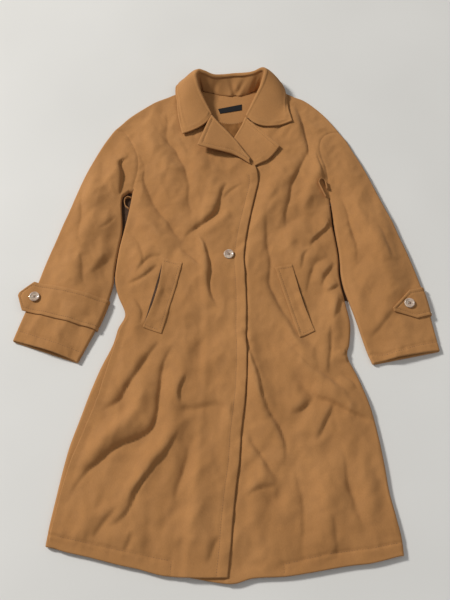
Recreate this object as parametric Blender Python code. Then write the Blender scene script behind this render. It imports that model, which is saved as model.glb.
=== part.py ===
"""A long single-breasted wool-blend coat, laid out flat on its back.

The back panel lies on the floor, the two fronts lie on it, the wearer's right
front over the left, and the sleeves lie beside the body.  Each cut piece is a
closed wall of its own, a seam's gap away from its neighbour.

The plan tables are in centimetres of the layout: X to the wearer's left, Y up
the coat.  They give each point as it is seen from EYE against a level READ_LEVEL
above the floor, and seen() slides it down its sight line to its own height.
"""

import math

import bmesh
import bpy
import numpy as np
from mathutils import Vector
from mathutils.bvhtree import BVHTree

# ------------------------------------------------------------------ sizes
CM = 0.01
MM = 0.001
EYE = np.array([3.855, -78.761, 160.704]) * CM
READ_LEVEL = 10 * MM
MIDDLE = np.array([-2.0, 0.35]) * CM     # centre of the laid coat in the layout

WALL = 2.8 * MM              # coating with its backing
FACED = 3.2 * MM             # collar and lapels, cloth turned on itself
FLAT_TOP = 10 * MM           # outside of a front that lies flat on the back
SEAM = 0.45 * MM             # gap along a seam
CLEAR = 0.35 * MM            # gap between a piece and what it lies on
LOWEST_TOP = 6.6 * MM        # a trough stops just above the back
SLEEVE_CROWN = 1.5 * MM
BUTTON_WIDTH = 22 * MM
BUTTON_THICK = 3.6 * MM
WELT_THICK = 2.4 * MM
TAB_THICK = 3.0 * MM
TAB_CLEAR = 0.7 * MM          # over the sleeve's folds

# ------------------------------------------------------------------ tables
# One row for each level of the body.  left/right: outline or armhole on the
# wearer's right and left; over/under: neckline, lapel roll line, then front edge
# of the upper and the lower front; seam: how far the left side seam lies inside
# the outline; turn: how far the front stops short of its neckline or roll line.
BODY = (
    # left x, y,    over x, y,     under x, y,    right x, y,   seam, turn
    (-30.5, 40.7, -11.9, 54.4, 3.0, 54.9, 21.9, 42.3, 0, 0.2),    # shoulder
    (-28.2, 40.4, -11.3, 52.3, 2.4, 52.6, 20.0, 42.2, 0, 0.7),
    (-27.2, 39.3, -10.6, 50.6, 1.7, 50.6, 18.5, 41.3, 0, 0.9),
    (-26.1, 37.4, -9.8, 48.8, 1.0, 48.6, 17.5, 39.6, 0, 0.9),
    (-25.0, 35.3, -8.6, 46.9, 0.2, 46.4, 17.2, 37.2, 0, 1.65),     # lapels start
    (-24.2, 33.2, -6.5, 44.6, -0.6, 44.0, 17.7, 34.6, 0, 1.65),
    (-23.8, 31.0, -4.5, 42.2, -1.4, 41.8, 18.5, 32.2, 0, 1.65),
    (-23.8, 28.6, -2.4, 39.6, -2.3, 39.6, 19.0, 29.6, 0, 1.65),
    (-24.1, 26.4, -0.6, 36.9, -3.3, 37.2, 19.3, 26.8, 0, 1.65),
    (-24.4, 24.6, 1.1, 34.3, -4.2, 34.6, 19.5, 24.4, 0, 1.5),     # underarm
    (-24.6, 21.3, 2.6, 31.8, -4.9, 31.5, 19.75, 21.0, 0, 0),      # break
    (-24.95, 17.5, 3.3, 28.3, -5.5, 28.0, 20.1, 17.5, 0, 0),
    (-25.4, 13.8, 2.7, 24.0, -6.4, 24.0, 20.8, 13.6, 0, 0),
    (-25.9, 9.5, 1.9, 19.0, -7.0, 19.0, 21.4, 9.5, 0, 0),
    (-26.1, 5.5, 1.2, 13.5, -7.3, 13.5, 21.5, 5.5, 0, 0),
    (-26.0, 1.9, 0.9, 8.5, -6.9, 8.5, 22.1, 1.8, 0, 0),
    (-24.9, -1.8, 1.4, 3.0, -6.0, 3.0, 23.0, -2.0, 0, 0),
    (-23.0, -6.0, 1.9, -3.0, -5.2, -3.0, 23.8, -6.0, 0, 0),       # waist
    (-24.1, -9.3, 2.1, -8.0, -4.9, -8.0, 23.6, -10.3, 0.3, 0),
    (-24.8, -13.0, 2.4, -13.0, -4.7, -13.0, 23.2, -13.3, 0.6, 0),
    (-26.6, -18.0, 2.6, -18.5, -4.5, -18.5, 25.4, -18.0, 1.5, 0),
    (-28.2, -23.5, 2.5, -24.5, -4.5, -24.5, 27.5, -23.5, 2.1, 0),
    (-29.5, -29.0, 2.1, -30.5, -4.7, -30.5, 28.9, -29.0, 1.8, 0),
    (-30.8, -34.5, 2.0, -36.0, -4.9, -36.0, 30.0, -35.0, 1.6, 0),
    (-31.5, -39.5, 1.6, -41.5, -5.1, -41.5, 30.8, -40.3, 1.1, 0),
    (-32.1, -45.0, 1.3, -47.0, -5.3, -47.0, 31.9, -44.8, 0.8, 0),
    (-32.6, -50.0, 1.15, -52.5, -5.5, -52.3, 32.8, -48.8, 0.7, 0),
    (-32.8, -53.6, 0.9, -57.3, -5.6, -57.6, 33.1, -51.8, 0.7, 0), # hem
)
UNDERARM = 9                 # row of BODY where the armholes end

# Edges that bend between two columns of BODY, each from the outside inwards.
SHOULDER_LEFT = ((-30.5, 40.7), (-29.0, 42.5), (-27.5, 44.4), (-26.0, 45.9), (-23.5, 48.1),
                 (-21.3, 49.8), (-19.0, 51.0), (-16.0, 52.7), (-11.9, 54.4))
SHOULDER_RIGHT = ((21.9, 42.3), (20.0, 45.0), (18.0, 47.5), (16.0, 49.5), (14.5, 50.8),
                  (13.0, 51.8), (11.0, 52.6), (8.7, 53.7), (3.0, 54.9))
BACK_NECK = ((-11.9, 54.4), (-9.0, 53.1), (-6.5, 52.5), (-4.0, 52.2), (-1.8, 52.4),
             (0.4, 53.2), (3.0, 54.9))
HEM_OVER = ((-32.8, -53.6), (-30.5, -54.2), (-26.0, -54.9), (-20.0, -56.0), (-16.0, -56.6),
            (-11.0, -57.5), (-5.0, -57.6), (0.9, -57.3))
HEM_UNDER = ((33.1, -51.8), (28.0, -53.3), (24.3, -53.9), (20.4, -54.7), (16.4, -55.6),
             (11.7, -56.5), (5.9, -57.1), (1.7, -58.3), (-5.6, -57.6))
HEM_BACK_RISE = 0.8          # the back's hem stays this far inside the fronts'

# A row for each section of a sleeve, from the armhole to the cuff.
SLEEVE_LEFT = (
    # outer x, y,  inner x, y
    (-32.2, 37.3, -25.5, 23.7),
    (-33.5, 34.1, -26.5, 22.7),
    (-34.7, 30.7, -26.6, 20.9),
    (-35.8, 27.2, -26.3, 18.6),
    (-36.8, 23.3, -25.95, 16.1),
    (-37.8, 18.9, -25.75, 13.3),
    (-38.9, 14.8, -25.95, 10.3),
    (-39.8, 11.2, -26.2, 7.0),
    (-40.7, 7.6, -26.3, 3.8),
    (-41.5, 4.2, -26.2, 0.8),
    (-42.2, 0.8, -26.7, -2.6),
    (-43.0, -2.6, -27.5, -6.0),
    (-43.9, -6.2, -28.6, -9.6),
    (-44.8, -9.8, -30.1, -13.6),
    (-45.5, -12.9, -31.4, -17.0),
)
SLEEVE_RIGHT = (
    (23.4, 40.2, 19.8, 23.1),
    (24.8, 37.4, 19.95, 22.1),
    (26.2, 34.8, 20.05, 20.8),
    (27.7, 31.7, 20.25, 19.3),
    (29.1, 28.5, 20.5, 17.4),
    (30.6, 25.0, 20.8, 15.2),
    (32.0, 21.8, 21.15, 13.0),
    (33.3, 19.0, 21.5, 10.8),
    (34.5, 15.7, 21.75, 8.2),
    (35.9, 12.1, 21.9, 5.4),
    (37.2, 8.4, 22.5, 2.2),
    (38.4, 4.7, 23.6, -1.2),
    (39.4, 1.0, 24.8, -4.8),
    (40.3, -3.0, 26.0, -8.6),
    (41.1, -7.0, 27.1, -12.0),
    (41.9, -10.9, 28.1, -14.5),
)

# Collar stations from the wearer's right lapel round the back to the left one:
# seam at the neck, crest of the roll, a point that pulls the leaf, leaf's edge.
COLLAR = (
    # seam x, y, z mm      roll x, y, z       pull x, y, z        edge x, y, z
    (-9.1, 46.5, 11.5, -8.3, 46.8, 18, -9.0, 43.2, 24, -14.4, 40.9, 21),
    (-10.3, 48.6, 12, -9.4, 49.2, 23, -12.0, 46.0, 26, -15.2, 43.6, 18),
    (-11.4, 50.5, 12, -10.5, 51.6, 29, -13.8, 49.2, 28, -15.9, 46.8, 16),
    (-12.1, 52.2, 12, -11.5, 54.0, 35, -14.9, 52.2, 33, -16.35, 50.0, 15),
    (-12.3, 53.6, 12, -12.2, 56.3, 41, -15.2, 54.6, 34, -16.9, 52.7, 14),
    (-11.9, 54.4, 10, -12.6, 58.3, 45, -15.2, 56.7, 34, -16.6, 54.9, 6),
    (-11.1, 54.0, 7, -12.0, 59.6, 46, -13.6, 59.6, 24, -14.3, 56.5, 3),
    (-9.9, 53.45, 5.6, -10.6, 59.2, 42, -11.2, 59.5, 14, -11.5, 55.6, 2.4),
    (-8.2, 52.95, 4.8, -8.4, 58.2, 34, -8.6, 58.6, 8, -8.6, 54.5, 2.4),
    (-6.0, 52.45, 4.6, -5.9, 58.3, 29, -6.0, 58.6, 5, -6.0, 54.1, 2.4),
    (-3.8, 52.3, 4.6, -3.5, 58.7, 28, -3.5, 59.0, 5, -3.6, 53.9, 2.4),
    (-1.6, 52.5, 4.7, -1.0, 59.0, 31, -0.9, 59.3, 8, -1.0, 54.4, 2.4),
    (0.5, 53.35, 5.5, 1.3, 59.6, 38, 1.8, 59.9, 14, 2.2, 55.8, 2.4),
    (2.0, 54.5, 7, 3.2, 60.8, 45, 4.6, 60.9, 24, 5.2, 57.2, 3),
    (3.0, 55.1, 10, 4.1, 60.2, 46, 7.0, 58.6, 33, 8.0, 55.7, 6),
    (3.3, 54.2, 12, 3.8, 57.9, 41, 8.0, 56.2, 33, 9.1, 53.2, 14),
    (3.1, 52.5, 12, 3.2, 55.5, 35, 7.8, 53.2, 31, 9.4, 50.6, 15),
    (2.4, 50.6, 12, 2.3, 52.9, 29, 6.8, 50.0, 26, 9.8, 48.1, 15.5),
    (1.6, 48.6, 12, 1.3, 50.0, 23, 5.0, 46.8, 23, 10.2, 46.4, 16),
    (0.9, 46.4, 11.5, 0.2, 46.8, 18, 2.6, 43.6, 20, 10.6, 44.9, 17),
)

# Lapel stations from the gorge down to the break, with the same columns.
LAPEL_RIGHT = (
    (-8.7, 45.6, 9.5, -8.1, 46.2, 18, -9.2, 43.0, 24, -10.6, 37.9, 26),
    (-7.3, 43.6, 9.5, -6.5, 44.2, 19, -7.6, 41.4, 26, -9.0, 37.4, 26),
    (-5.9, 41.9, 10.5, -4.9, 42.4, 20, -5.9, 40.1, 26, -7.0, 36.9, 26),
    (-4.3, 40.0, 14, -3.3, 40.5, 21, -3.9, 38.6, 26, -4.6, 36.3, 26),
    (-2.7, 38.0, 16.5, -1.7, 38.5, 23, -2.0, 37.2, 25, -2.3, 35.6, 25),
    (-1.2, 36.1, 17, -0.3, 36.5, 23.5, -0.4, 35.6, 24, -0.5, 34.6, 23.5),
    (0.4, 34.2, 17, 1.2, 34.5, 23.5, 1.2, 34.0, 23.5, 1.3, 33.3, 22.5),
)
LAPEL_LEFT = (
    (0.7, 45.5, 9, 0.0, 45.8, 16.5, 2.0, 43.6, 17, 7.9, 38.2, 14.8),
    (0.0, 43.6, 9, -0.7, 43.8, 16, 2.6, 41.4, 16.5, 7.0, 36.6, 14.4),
    (-0.8, 41.6, 9, -1.5, 41.8, 15.5, 1.8, 39.4, 16, 5.8, 34.9, 14.2),
    (-1.7, 39.6, 8, -2.4, 39.7, 12.7, 0.6, 37.0, 13.8, 4.3, 33.4, 13.6),
    (-2.7, 37.2, 7.5, -3.4, 37.3, 12.0, -0.8, 34.8, 12.6, 2.4, 32.3, 13.0),
    (-3.6, 34.8, 7, -4.3, 34.8, 12.2, -2.6, 33.2, 12.2, 0.2, 31.6, 12.6),
)

# Main folds: path, half width and height in millimetres, a trough being negative.
FOLDS = (
    # wearer's right front
    (((-18.5, 48), (-17.5, 38), (-13, 31), (-11.8, 26), (-12, 20)), 17, -3.4),
    (((-22, 46), (-21.5, 38), (-17, 31), (-15.5, 24)), 22, 6.5),
    (((-13, 40), (-9, 29), (-6.5, 22), (-9.5, 18.5)), 26, 9.0),
    (((-24.5, 37), (-20.5, 28), (-20, 23), (-16, 15), (-10.5, 11)), 15, -3.4),
    (((-23, 21), (-19, 13), (-13, 8)), 20, 7.0),
    (((-4.5, 24), (-5.5, 20.5), (-7.5, 17.5), (-12, 14)), 13, -5.0),
    (((-2, 22), (-4, 16.5), (-8.6, 13)), 13, 5.0),
    (((-15.5, -11.5), (-19.5, -20), (-26, -26)), 16, -3.0),
    (((-11.5, -11), (-14, -20), (-14.5, -28), (-20.5, -34), (-26.5, -41), (-30, -47)), 18, -4.0),
    (((-17.5, -19), (-17.5, -27), (-22, -32), (-28, -40)), 20, 10.0),
    (((-9, -9), (-10.5, -22), (-10.5, -33), (-15.5, -41), (-17, -52)), 24, 9.0),
    (((-9.5, -27), (-5, -27.5), (-0.5, -25.5)), 13, -3.5),
    (((-5, -31), (-5.5, -42), (-5, -55)), 24, 7.0),
    (((-3, -5), (-8, -19)), 24, -3.0),
    (((-14, -46), (-13, -56)), 16, -2.5),
    # wearer's left front
    (((11, 51), (13.5, 43), (14.7, 36), (12, 31), (10, 23), (9.5, 15)), 16, -3.4),
    (((7.5, 30), (5.5, 22), (3.5, 13)), 24, 8.5),
    (((16, 42), (17.3, 33), (15, 24), (13, 17)), 16, 7.5),
    (((5.5, 18), (6.4, 8), (7, 1), (11, -6), (13.5, -11)), 17, -3.2),
    (((20, 16), (17, 10), (14, 1)), 14, -3.2),
    (((19, 9), (20.3, -5), (20, -17)), 16, 5.5),
    (((3.5, -4), (5, -17), (8, -22), (12, -29)), 19, 7.5),
    (((10.3, -27), (10.5, -36)), 13, -3.5),
    (((14.5, -8), (17, -16), (21, -20)), 20, 6.5),
    (((16.5, -23), (20, -23), (27, -26)), 14, -3.5),
    (((15, -29), (19, -38), (22, -52)), 26, 7.5),
    (((7, -41), (9.5, -43), (12, -40)), 17, -3.4),
    (((28, -33), (29, -48)), 20, 4.0),
    # sleeves
    (((-26.3, 34), (-28.2, 32), (-27.4, 27), (-27, 22.6)), 12, -3.4),
    (((-33, 33), (-33, 20), (-33, 8), (-36, -2)), 30, 4.0),
    (((-36.5, 25), (-36, 12), (-36, 3)), 16, -3.0),
    (((24, 34), (28, 20), (31, 6), (34, -8)), 32, 4.0),
    (((22, 26), (25, 10), (26, 2)), 18, -2.6),
)

# The lower front sinks to a plain level under the upper one, which climbs over its
# edge and, higher still, over its lapel's fold.
HIDDEN_TOP = 8.0 * MM
HIDDEN_FROM = 14 * MM        # the sinking starts this far outside the upper front's edge
HIDDEN_RUN = 34 * MM         # and takes this long
UNDER_EDGE_LIFT = 3.4 * MM
UNDER_EDGE_FROM = 30 * MM    # the climb starts this far short of the lower front's edge
UNDER_EDGE_RUN = 22 * MM
UNDER_LAPEL_LIFT = 1.5       # as a share of the lift over the edge
UNDER_LAPEL_WIDTH = 22 * MM
UNDER_LAPEL_RUN = 25 * MM
# The chest hangs over the side below the left armhole along this line.
CHEST_TUCK = ((20.4, 20.5), (19.4, 17.4), (18.3, 15.9), (16.2, 14.1), (14.5, 12.0))
CHEST_TUCK_LIFT = 5 * MM
CHEST_TUCK_REACH = 50 * MM
CHEST_TUCK_EDGE = 6 * MM

WELT_RIGHT = ((-16.05, 7.4), (-12.0, 6.4), (-15.1, -10.0), (-18.9, -8.8))
WELT_LEFT = ((8.0, 6.3), (11.4, 7.1), (16.4, -8.0), (13.4, -9.6))

# Sleeve tabs: the rows of the sleeve that their edges follow, and their points.
TAB_RIGHT_ROWS = (11.2, 13.05)
TAB_RIGHT_END = 14.6         # column of the sleeve where the tab goes into the seam
# Sections of the right tab's point: reach and, as a share of the tab, width, then drop.
TAB_RIGHT_TIP = (
    # reach mm, width, drop mm
    (33, 0.12, 3.2),
    (11, 0.75, 1.0),
)
TAB_LEFT_ROWS = (12.5, 14.05)
TAB_LEFT_SQUARE = 4.6        # column of the sleeve where the left tab's point begins
TAB_LEFT_POINT = 7.4         # and where it ends

BUTTON_FRONT = (-2.1, 9.1)
BUTTON_TAB_RIGHT = (-42.6, -2.75)
BUTTON_TAB_LEFT = (36.1, -0.8)

# Inside the neck: neckline point and lower point of each row of the back facing.
NECK_FACING = (
    (-10.6, 53.0, -11.6, 49.6),
    (-9.0, 52.7, -10.2, 46.9),
    (-6.5, 52.2, -7.6, 44.6),
    (-4.0, 51.95, -4.3, 43.6),
    (-1.8, 52.15, -1.2, 44.1),
    (0.4, 52.9, 1.6, 46.4),
    (1.9, 53.6, 3.4, 49.4),
)
FACING_THICK = 1.4 * MM
LINING_FOOT = 35.5
LABEL = ((-6.6, 48.2), (-1.2, 49.75), (-1.1, 48.15), (-6.1, 46.9))
LABEL_THICK = 0.8 * MM

# Belt loops under the arms, on edge: x, y and how far the lower edge is over what
# lies below, in millimetres.
LOOP_LEFT = (
    (19.0, 26.9, 0.5),
    (18.4, 28.7, 0.5),
    (17.5, 28.9, 0.5),
    (17.1, 28.0, 0.5),
    (17.9, 26.3, 0.5),
    (18.7, 24.9, 0.5),
)
LOOP_RIGHT = (
    (-24.56, 22.4, 2.0),
    (-25.5, 22.6, 1.5),
    (-26.0, 21.8, 1.0),
    (-25.7, 20.4, 1.0),
    (-24.86, 19.6, 1.5),
)
LOOP_WIDTH = 6 * MM
LOOP_THICK = 1.8 * MM

# Section of a button from its middle over the rim to the foot: radius and height
# in millimetres.
BUTTON_SECTION = ((0.0, 2.2), (7.0, 2.2), (8.2, 3.4), (9.8, 3.6), (11.0, 2.4), (10.6, 0.8),
                  (8.6, 0.0), (0.0, 0.0))
BUTTON_STEPS = 20            # facets round a button
HOLE_WIDTH = 2.2 * MM
HOLE_REACH = 3.1 * MM        # from the button's middle to each hole

COLOURS = {                 # base colour, roughness
    "cloth": ((0.45, 0.25, 0.105), 0.85),
    "lining": ((0.40, 0.22, 0.09), 0.55),
    "label": ((0.012, 0.012, 0.014), 0.6),
    "button": ((0.62, 0.46, 0.36), 0.3),
}


# ------------------------------------------------------------------ plan helpers
def seen(plan, height):
    """True place of a point that lies at this height and is read as plan."""
    plan = np.asarray(plan, float)
    height = np.asarray(height, float)[..., None]
    return EYE[:2] + (plan - EYE[:2]) * (EYE[2] - height) / (EYE[2] - READ_LEVEL)


def layout(points, height):
    """A table's (x, y) pairs in centimetres, as true metres round the middle."""
    points = np.asarray(points, float) * CM
    height = np.broadcast_to(height, points.shape[:-1])
    return seen(points, height) - MIDDLE


def smoothstep(t):
    t = np.clip(t, 0, 1)
    return t * t * (3 - 2 * t)


def along(points, steps):
    """The points of a polyline at these fractions of its length."""
    points = np.asarray(points, float)
    gaps = np.linalg.norm(np.diff(points, axis=0), axis=1)
    reach = np.concatenate([[0], np.cumsum(gaps)])
    steps = np.asarray(steps) * reach[-1]
    return np.stack([np.interp(steps, reach, points[:, k]) for k in range(points.shape[1])], -1)


def spline(points, steps):
    """Smooth curve through the points, at fractions that are even in point number."""
    points = np.asarray(points, float)
    last = len(points) - 1
    padded = np.vstack([2 * points[0] - points[1], points, 2 * points[-1] - points[-2]])
    place = np.clip(np.asarray(steps, float), 0, 1) * last
    start = np.minimum(place.astype(int), last - 1)
    t = (place - start)[:, None]
    a, b, c, d = (padded[start + k] for k in range(4))
    squared = 2 * a - 5 * b + 4 * c - d
    cubed = 3 * b - a - 3 * c + d
    return 0.5 * (2 * b + (c - a) * t + squared * t**2 + cubed * t**3)


def unit(vectors):
    return vectors / np.maximum(np.linalg.norm(vectors, axis=-1, keepdims=True), 1e-12)


def line_distance(x, y, path):
    """Distance from the plan points to a path, its side, and how far along it."""
    best = np.full(np.shape(x), np.inf)
    side = np.zeros(np.shape(x))
    share = np.zeros(np.shape(x))
    gaps = np.linalg.norm(np.diff(path, axis=0), axis=1)
    before = np.concatenate([[0], np.cumsum(gaps)])
    for start, end, gap, done in zip(path[:-1], path[1:], gaps, before):
        way = (end - start) / gap
        run = np.clip((x - start[0]) * way[0] + (y - start[1]) * way[1], 0, gap)
        off_x = x - start[0] - run * way[0]
        off_y = y - start[1] - run * way[1]
        far = np.hypot(off_x, off_y)
        nearer = far < best
        best = np.where(nearer, far, best)
        side = np.where(nearer, np.sign(way[0] * off_y - way[1] * off_x), side)
        share = np.where(nearer, (done + run) / before[-1], share)
    return best, side, share


# ------------------------------------------------------------------ height of the top
FOLD_PATHS = [(layout(path, 12 * MM), width * MM, height * MM) for path, width, height in FOLDS]
TUCK_PATH = layout(CHEST_TUCK, 12 * MM)
UNDER_EDGE = layout([(row[4], row[5]) for row in BODY[UNDERARM - 1:]], 9 * MM)
OVER_EDGE = layout([(row[2], row[3]) for row in BODY[UNDERARM - 2:]], 12 * MM)
UNDER_LAPEL = layout([(-5.0, 38.4), (-4.2, 36.2), (-1.2, 33.9), (2.0, 32.4)], 12 * MM)


def top(x, y):
    """Height of the outside of the upper layer where nothing lies under it."""
    height = np.full(np.shape(x), FLAT_TOP)
    for path, width, rise in FOLD_PATHS:
        far, _, share = line_distance(x, y, path)
        taper = smoothstep(share / 0.25 + 0.15) * smoothstep((1 - share) / 0.3 + 0.15)
        height = height + rise * np.exp(-(far / width) ** 2) * taper
    far, side, share = line_distance(x, y, TUCK_PATH)
    reach = np.exp(-(far / CHEST_TUCK_REACH) ** 2)
    taper = smoothstep(share * 4) * smoothstep((1 - share) * 3)
    lift = np.where(side < 0, CHEST_TUCK_LIFT, -0.5 * CHEST_TUCK_LIFT)
    height = height + lift * reach * taper * smoothstep(far / CHEST_TUCK_EDGE)
    return not_below(height, LOWEST_TOP)


def not_below(height, lowest):
    """The height, rounded off softly where it would pass below the lowest level."""
    spare = height - lowest
    return lowest + 0.5 * (spare + np.sqrt(spare**2 + (0.8 * MM) ** 2))


def top_under(x, y):
    """The same for the lower front, which is plain where the upper front hides it."""
    far, side, _ = line_distance(x, y, OVER_EDGE)
    inside = np.where(side < 0, far, -far)
    hidden = smoothstep((inside + HIDDEN_FROM) / HIDDEN_RUN)
    return top(x, y) * (1 - hidden) + HIDDEN_TOP * hidden


def top_over(x, y):
    """The same for the upper front, which climbs over the lower front's edge and lapel."""
    far, side, _ = line_distance(x, y, UNDER_EDGE)
    beyond = np.where(side > 0, far, -far)
    over = smoothstep((beyond + UNDER_EDGE_FROM) / UNDER_EDGE_RUN)
    far, _, _ = line_distance(x, y, UNDER_LAPEL)
    over_lapel = 1 - smoothstep((far - UNDER_LAPEL_WIDTH) / UNDER_LAPEL_RUN)
    height = top(x, y) + UNDER_EDGE_LIFT * (over + UNDER_LAPEL_LIFT * over_lapel)
    lowest = HIDDEN_TOP + WALL + 2 * CLEAR
    return not_below(height, LOWEST_TOP + (lowest - LOWEST_TOP) * over)


def normal_of(surface, plan):
    step = 0.5 * MM
    x, y = plan[..., 0], plan[..., 1]
    slope_x = (surface(x + step, y) - surface(x - step, y)) / (2 * step)
    slope_y = (surface(x, y + step) - surface(x, y - step)) / (2 * step)
    return unit(np.stack([-slope_x, -slope_y, np.ones_like(slope_x)], -1))


def on_surface(surface, plan):
    """Points and outward normals of a height field at the plan points."""
    points = np.concatenate([plan, surface(plan[..., 0], plan[..., 1])[..., None]], -1)
    return points, normal_of(surface, plan)


# ------------------------------------------------------------------ solids
def add_solid(name, points, faces, slot):
    mesh = bpy.data.meshes.new(name)
    mesh.from_pydata([tuple(point) for point in points], [], faces)
    mesh.validate()
    mesh.shade_smooth()
    mesh.set_sharp_from_angle(angle=math.radians(50))
    piece = bpy.data.objects.new(name, mesh)
    coat().objects.link(piece)
    piece.data.materials.append(material(slot))
    return piece


def coat():
    found = bpy.data.collections.get("coat")
    if found is None:
        found = bpy.data.collections.new("coat")
        bpy.context.scene.collection.children.link(found)
    return found


def material(slot):
    found = bpy.data.materials.get(slot)
    if found is not None:
        return found
    colour, roughness = COLOURS[slot]
    found = bpy.data.materials.new(slot)
    found.use_nodes = True
    shader = found.node_tree.nodes["Principled BSDF"]
    shader.inputs["Base Color"].default_value = (*colour, 1)
    shader.inputs["Roughness"].default_value = roughness
    shader.inputs["Metallic"].default_value = 0
    return found


def wall(name, outside, normals, thick, slot, ring=False):
    """A wall of this thickness under a grid of outside points, closed all round.

    With ring set, the grid's last column meets its first and the wall is a tube.
    """
    rows, columns = outside.shape[:2]
    inside = outside - normals * thick
    points = np.concatenate([outside.reshape(-1, 3), inside.reshape(-1, 3)])
    under = rows * columns
    faces = []
    spans = columns if ring else columns - 1
    for row in range(rows - 1):
        for column in range(spans):
            after = (column + 1) % columns
            a = row * columns + column
            b = row * columns + after
            c = (row + 1) * columns + after
            d = (row + 1) * columns + column
            faces.append((a, b, c, d))
            faces.append((under + d, under + c, under + b, under + a))
    for column in range(spans):
        after = (column + 1) % columns
        foot = (rows - 1) * columns
        faces.append((after, column, under + column, under + after))
        faces.append((foot + column, foot + after, under + foot + after, under + foot + column))
    if not ring:
        for row in range(rows - 1):
            a, d = row * columns, (row + 1) * columns
            b, c = a + columns - 1, d + columns - 1
            faces.append((a, d, under + d, under + a))
            faces.append((c, b, under + b, under + c))
    piece = add_solid(name, points, faces, slot)
    face_outwards(piece)
    return piece


def face_outwards(piece):
    shape = bmesh.new()
    shape.from_mesh(piece.data)
    bmesh.ops.recalc_face_normals(shape, faces=shape.faces)
    shape.to_mesh(piece.data)
    shape.free()


# ------------------------------------------------------------------ body
TABLE = np.array(BODY)
LAST = len(BODY) - 1
SIDE_LEVEL = 7 * MM          # height at which the outline and the armholes are read
FRONT_LEVEL = 9 * MM         # the same for the fronts' hems
ROLL = np.radians([0, 30, 60, 90])          # stations round a folded edge
BELOW_ARM = 0.08             # first folded station, as a share of a row of BODY
STATIONS = [0.0] * len(ROLL) + list(range(1, UNDERARM + 1)) + [UNDERARM + BELOW_ARM]
STATIONS = np.array(STATIONS + list(range(UNDERARM + 1, LAST + 1)), float)
RING = len(ROLL) + UNDERARM  # stations that border an armhole
ANGLE = np.concatenate([ROLL, np.full(len(STATIONS) - len(ROLL), math.pi / 2)])
FOLDED = np.arange(len(STATIONS)) >= RING
FRONT_COLUMNS = 19
STRIP = 4                    # columns over a folded side of a front
STRIP_STEP = 2.6 * MM
BACK_STRIP = 8               # columns of the back at each folded side
# Columns of the back between those, as shares of its width, closer at the neck.
BACK_SHARES = np.array([8, 17, 25, 32, 37, 42, 46, 50, 54, 59, 65, 74, 83, 92]) / 100
BACK_NECK_EASE = 30 * MM     # the shoulder's fold flattens over this length at the neck
TURN_AT_SEAM = 1.6 * MM      # a back seam's edge turns in over this length


def column(first, height):
    """One edge of BODY at every station, the shoulder's own fold included."""
    points = layout(TABLE[:, first:first + 2], height)
    edge = spline(points, STATIONS / LAST)
    down = unit(points[1] - points[0])
    edge[:len(ROLL)] = points[0] + np.outer(shoulder_reach(), down)
    return edge


def shoulder_reach():
    return FLAT_TOP / 2 * (1 - np.cos(ROLL))


def amount(which):
    """A plain column of BODY, in metres, at every station."""
    return np.interp(STATIONS, np.arange(LAST + 1), TABLE[:, which] * CM)


def square_to(edge, towards):
    """Plan direction square to an edge, turned to the side of the given points."""
    run = np.gradient(edge, axis=0)
    square = unit(np.stack([-run[:, 1], run[:, 0]], -1))
    facing = np.sign(np.sum(square * (towards - edge), axis=1, keepdims=True))
    return square * facing


def armhole(first, towards, gap):
    """A side edge, with its armhole moved towards the given points by half a seam."""
    edge = column(first, SIDE_LEVEL)
    square = square_to(edge, towards)
    edge[:RING] += square[:RING] * gap
    return edge


def bend(shares, straight, shaped, weights):
    """Rows of straight plan lines, bent like the shaped line by each row's weight."""
    start, end = straight
    rows = start[:, None] + shares[..., None] * (end - start)[:, None]
    for at, weight in enumerate(weights):
        if weight > 0:
            chord = shaped[0] + shares[at][:, None] * (shaped[-1] - shaped[0])
            rows[at] += weight * (along(shaped, shares[at]) - chord)
    return rows


def shoulder_weight():
    return np.clip(1 - STATIONS / UNDERARM, 0, 1) ** 1.5


def hem_weight():
    return smoothstep((STATIONS - (LAST - 5)) / 5)


def shoulder_fold(plan, surface):
    """Points and normals of rows that start at the middle of the shoulder's fold."""
    points, normals = on_surface(surface, plan)
    outwards = unit(plan[0] - plan[len(ROLL)])
    middle = FLAT_TOP / 2
    for at in range(len(ROLL)):
        rise = math.sin(ANGLE[at])
        points[at, :, 2] = middle + (points[at, :, 2] - middle) * rise
        out = np.concatenate([outwards * math.cos(ANGLE[at]), np.zeros((plan.shape[1], 1))], -1)
        normals[at] = unit(normals[at] * rise + out)
    return points, normals


def roll_point(edge, way, radius, reach, surface):
    """Outside of a folded side, reach round from its outermost line: up if positive."""
    quarter = math.pi / 2 * radius
    if reach > quarter:
        return on_surface(surface, edge + way * (radius + reach - quarter))
    if reach < -quarter:
        plan = edge + way * (radius - reach - quarter)
        return np.array([*plan, 0.0]), np.array([0.0, 0.0, -1.0])
    angle = reach / radius
    plan = edge + way * radius * (1 - math.cos(angle))
    point = np.array([*plan, radius + radius * math.sin(angle)])
    return point, np.array([*(-way * math.cos(angle)), math.sin(angle)])


def seam_reach(inset, radius):
    """How far round a folded side its seam lies, given how far inside it is seen."""
    if inset >= radius:
        return math.pi / 2 * radius + inset - radius
    return radius * math.acos(1 - inset / radius)


def edge_radius(edge, way):
    """Half the height of the folded side at each station."""
    plan = edge + way * FLAT_TOP / 2
    return top(plan[:, 0], plan[:, 1]) / 2


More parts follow.
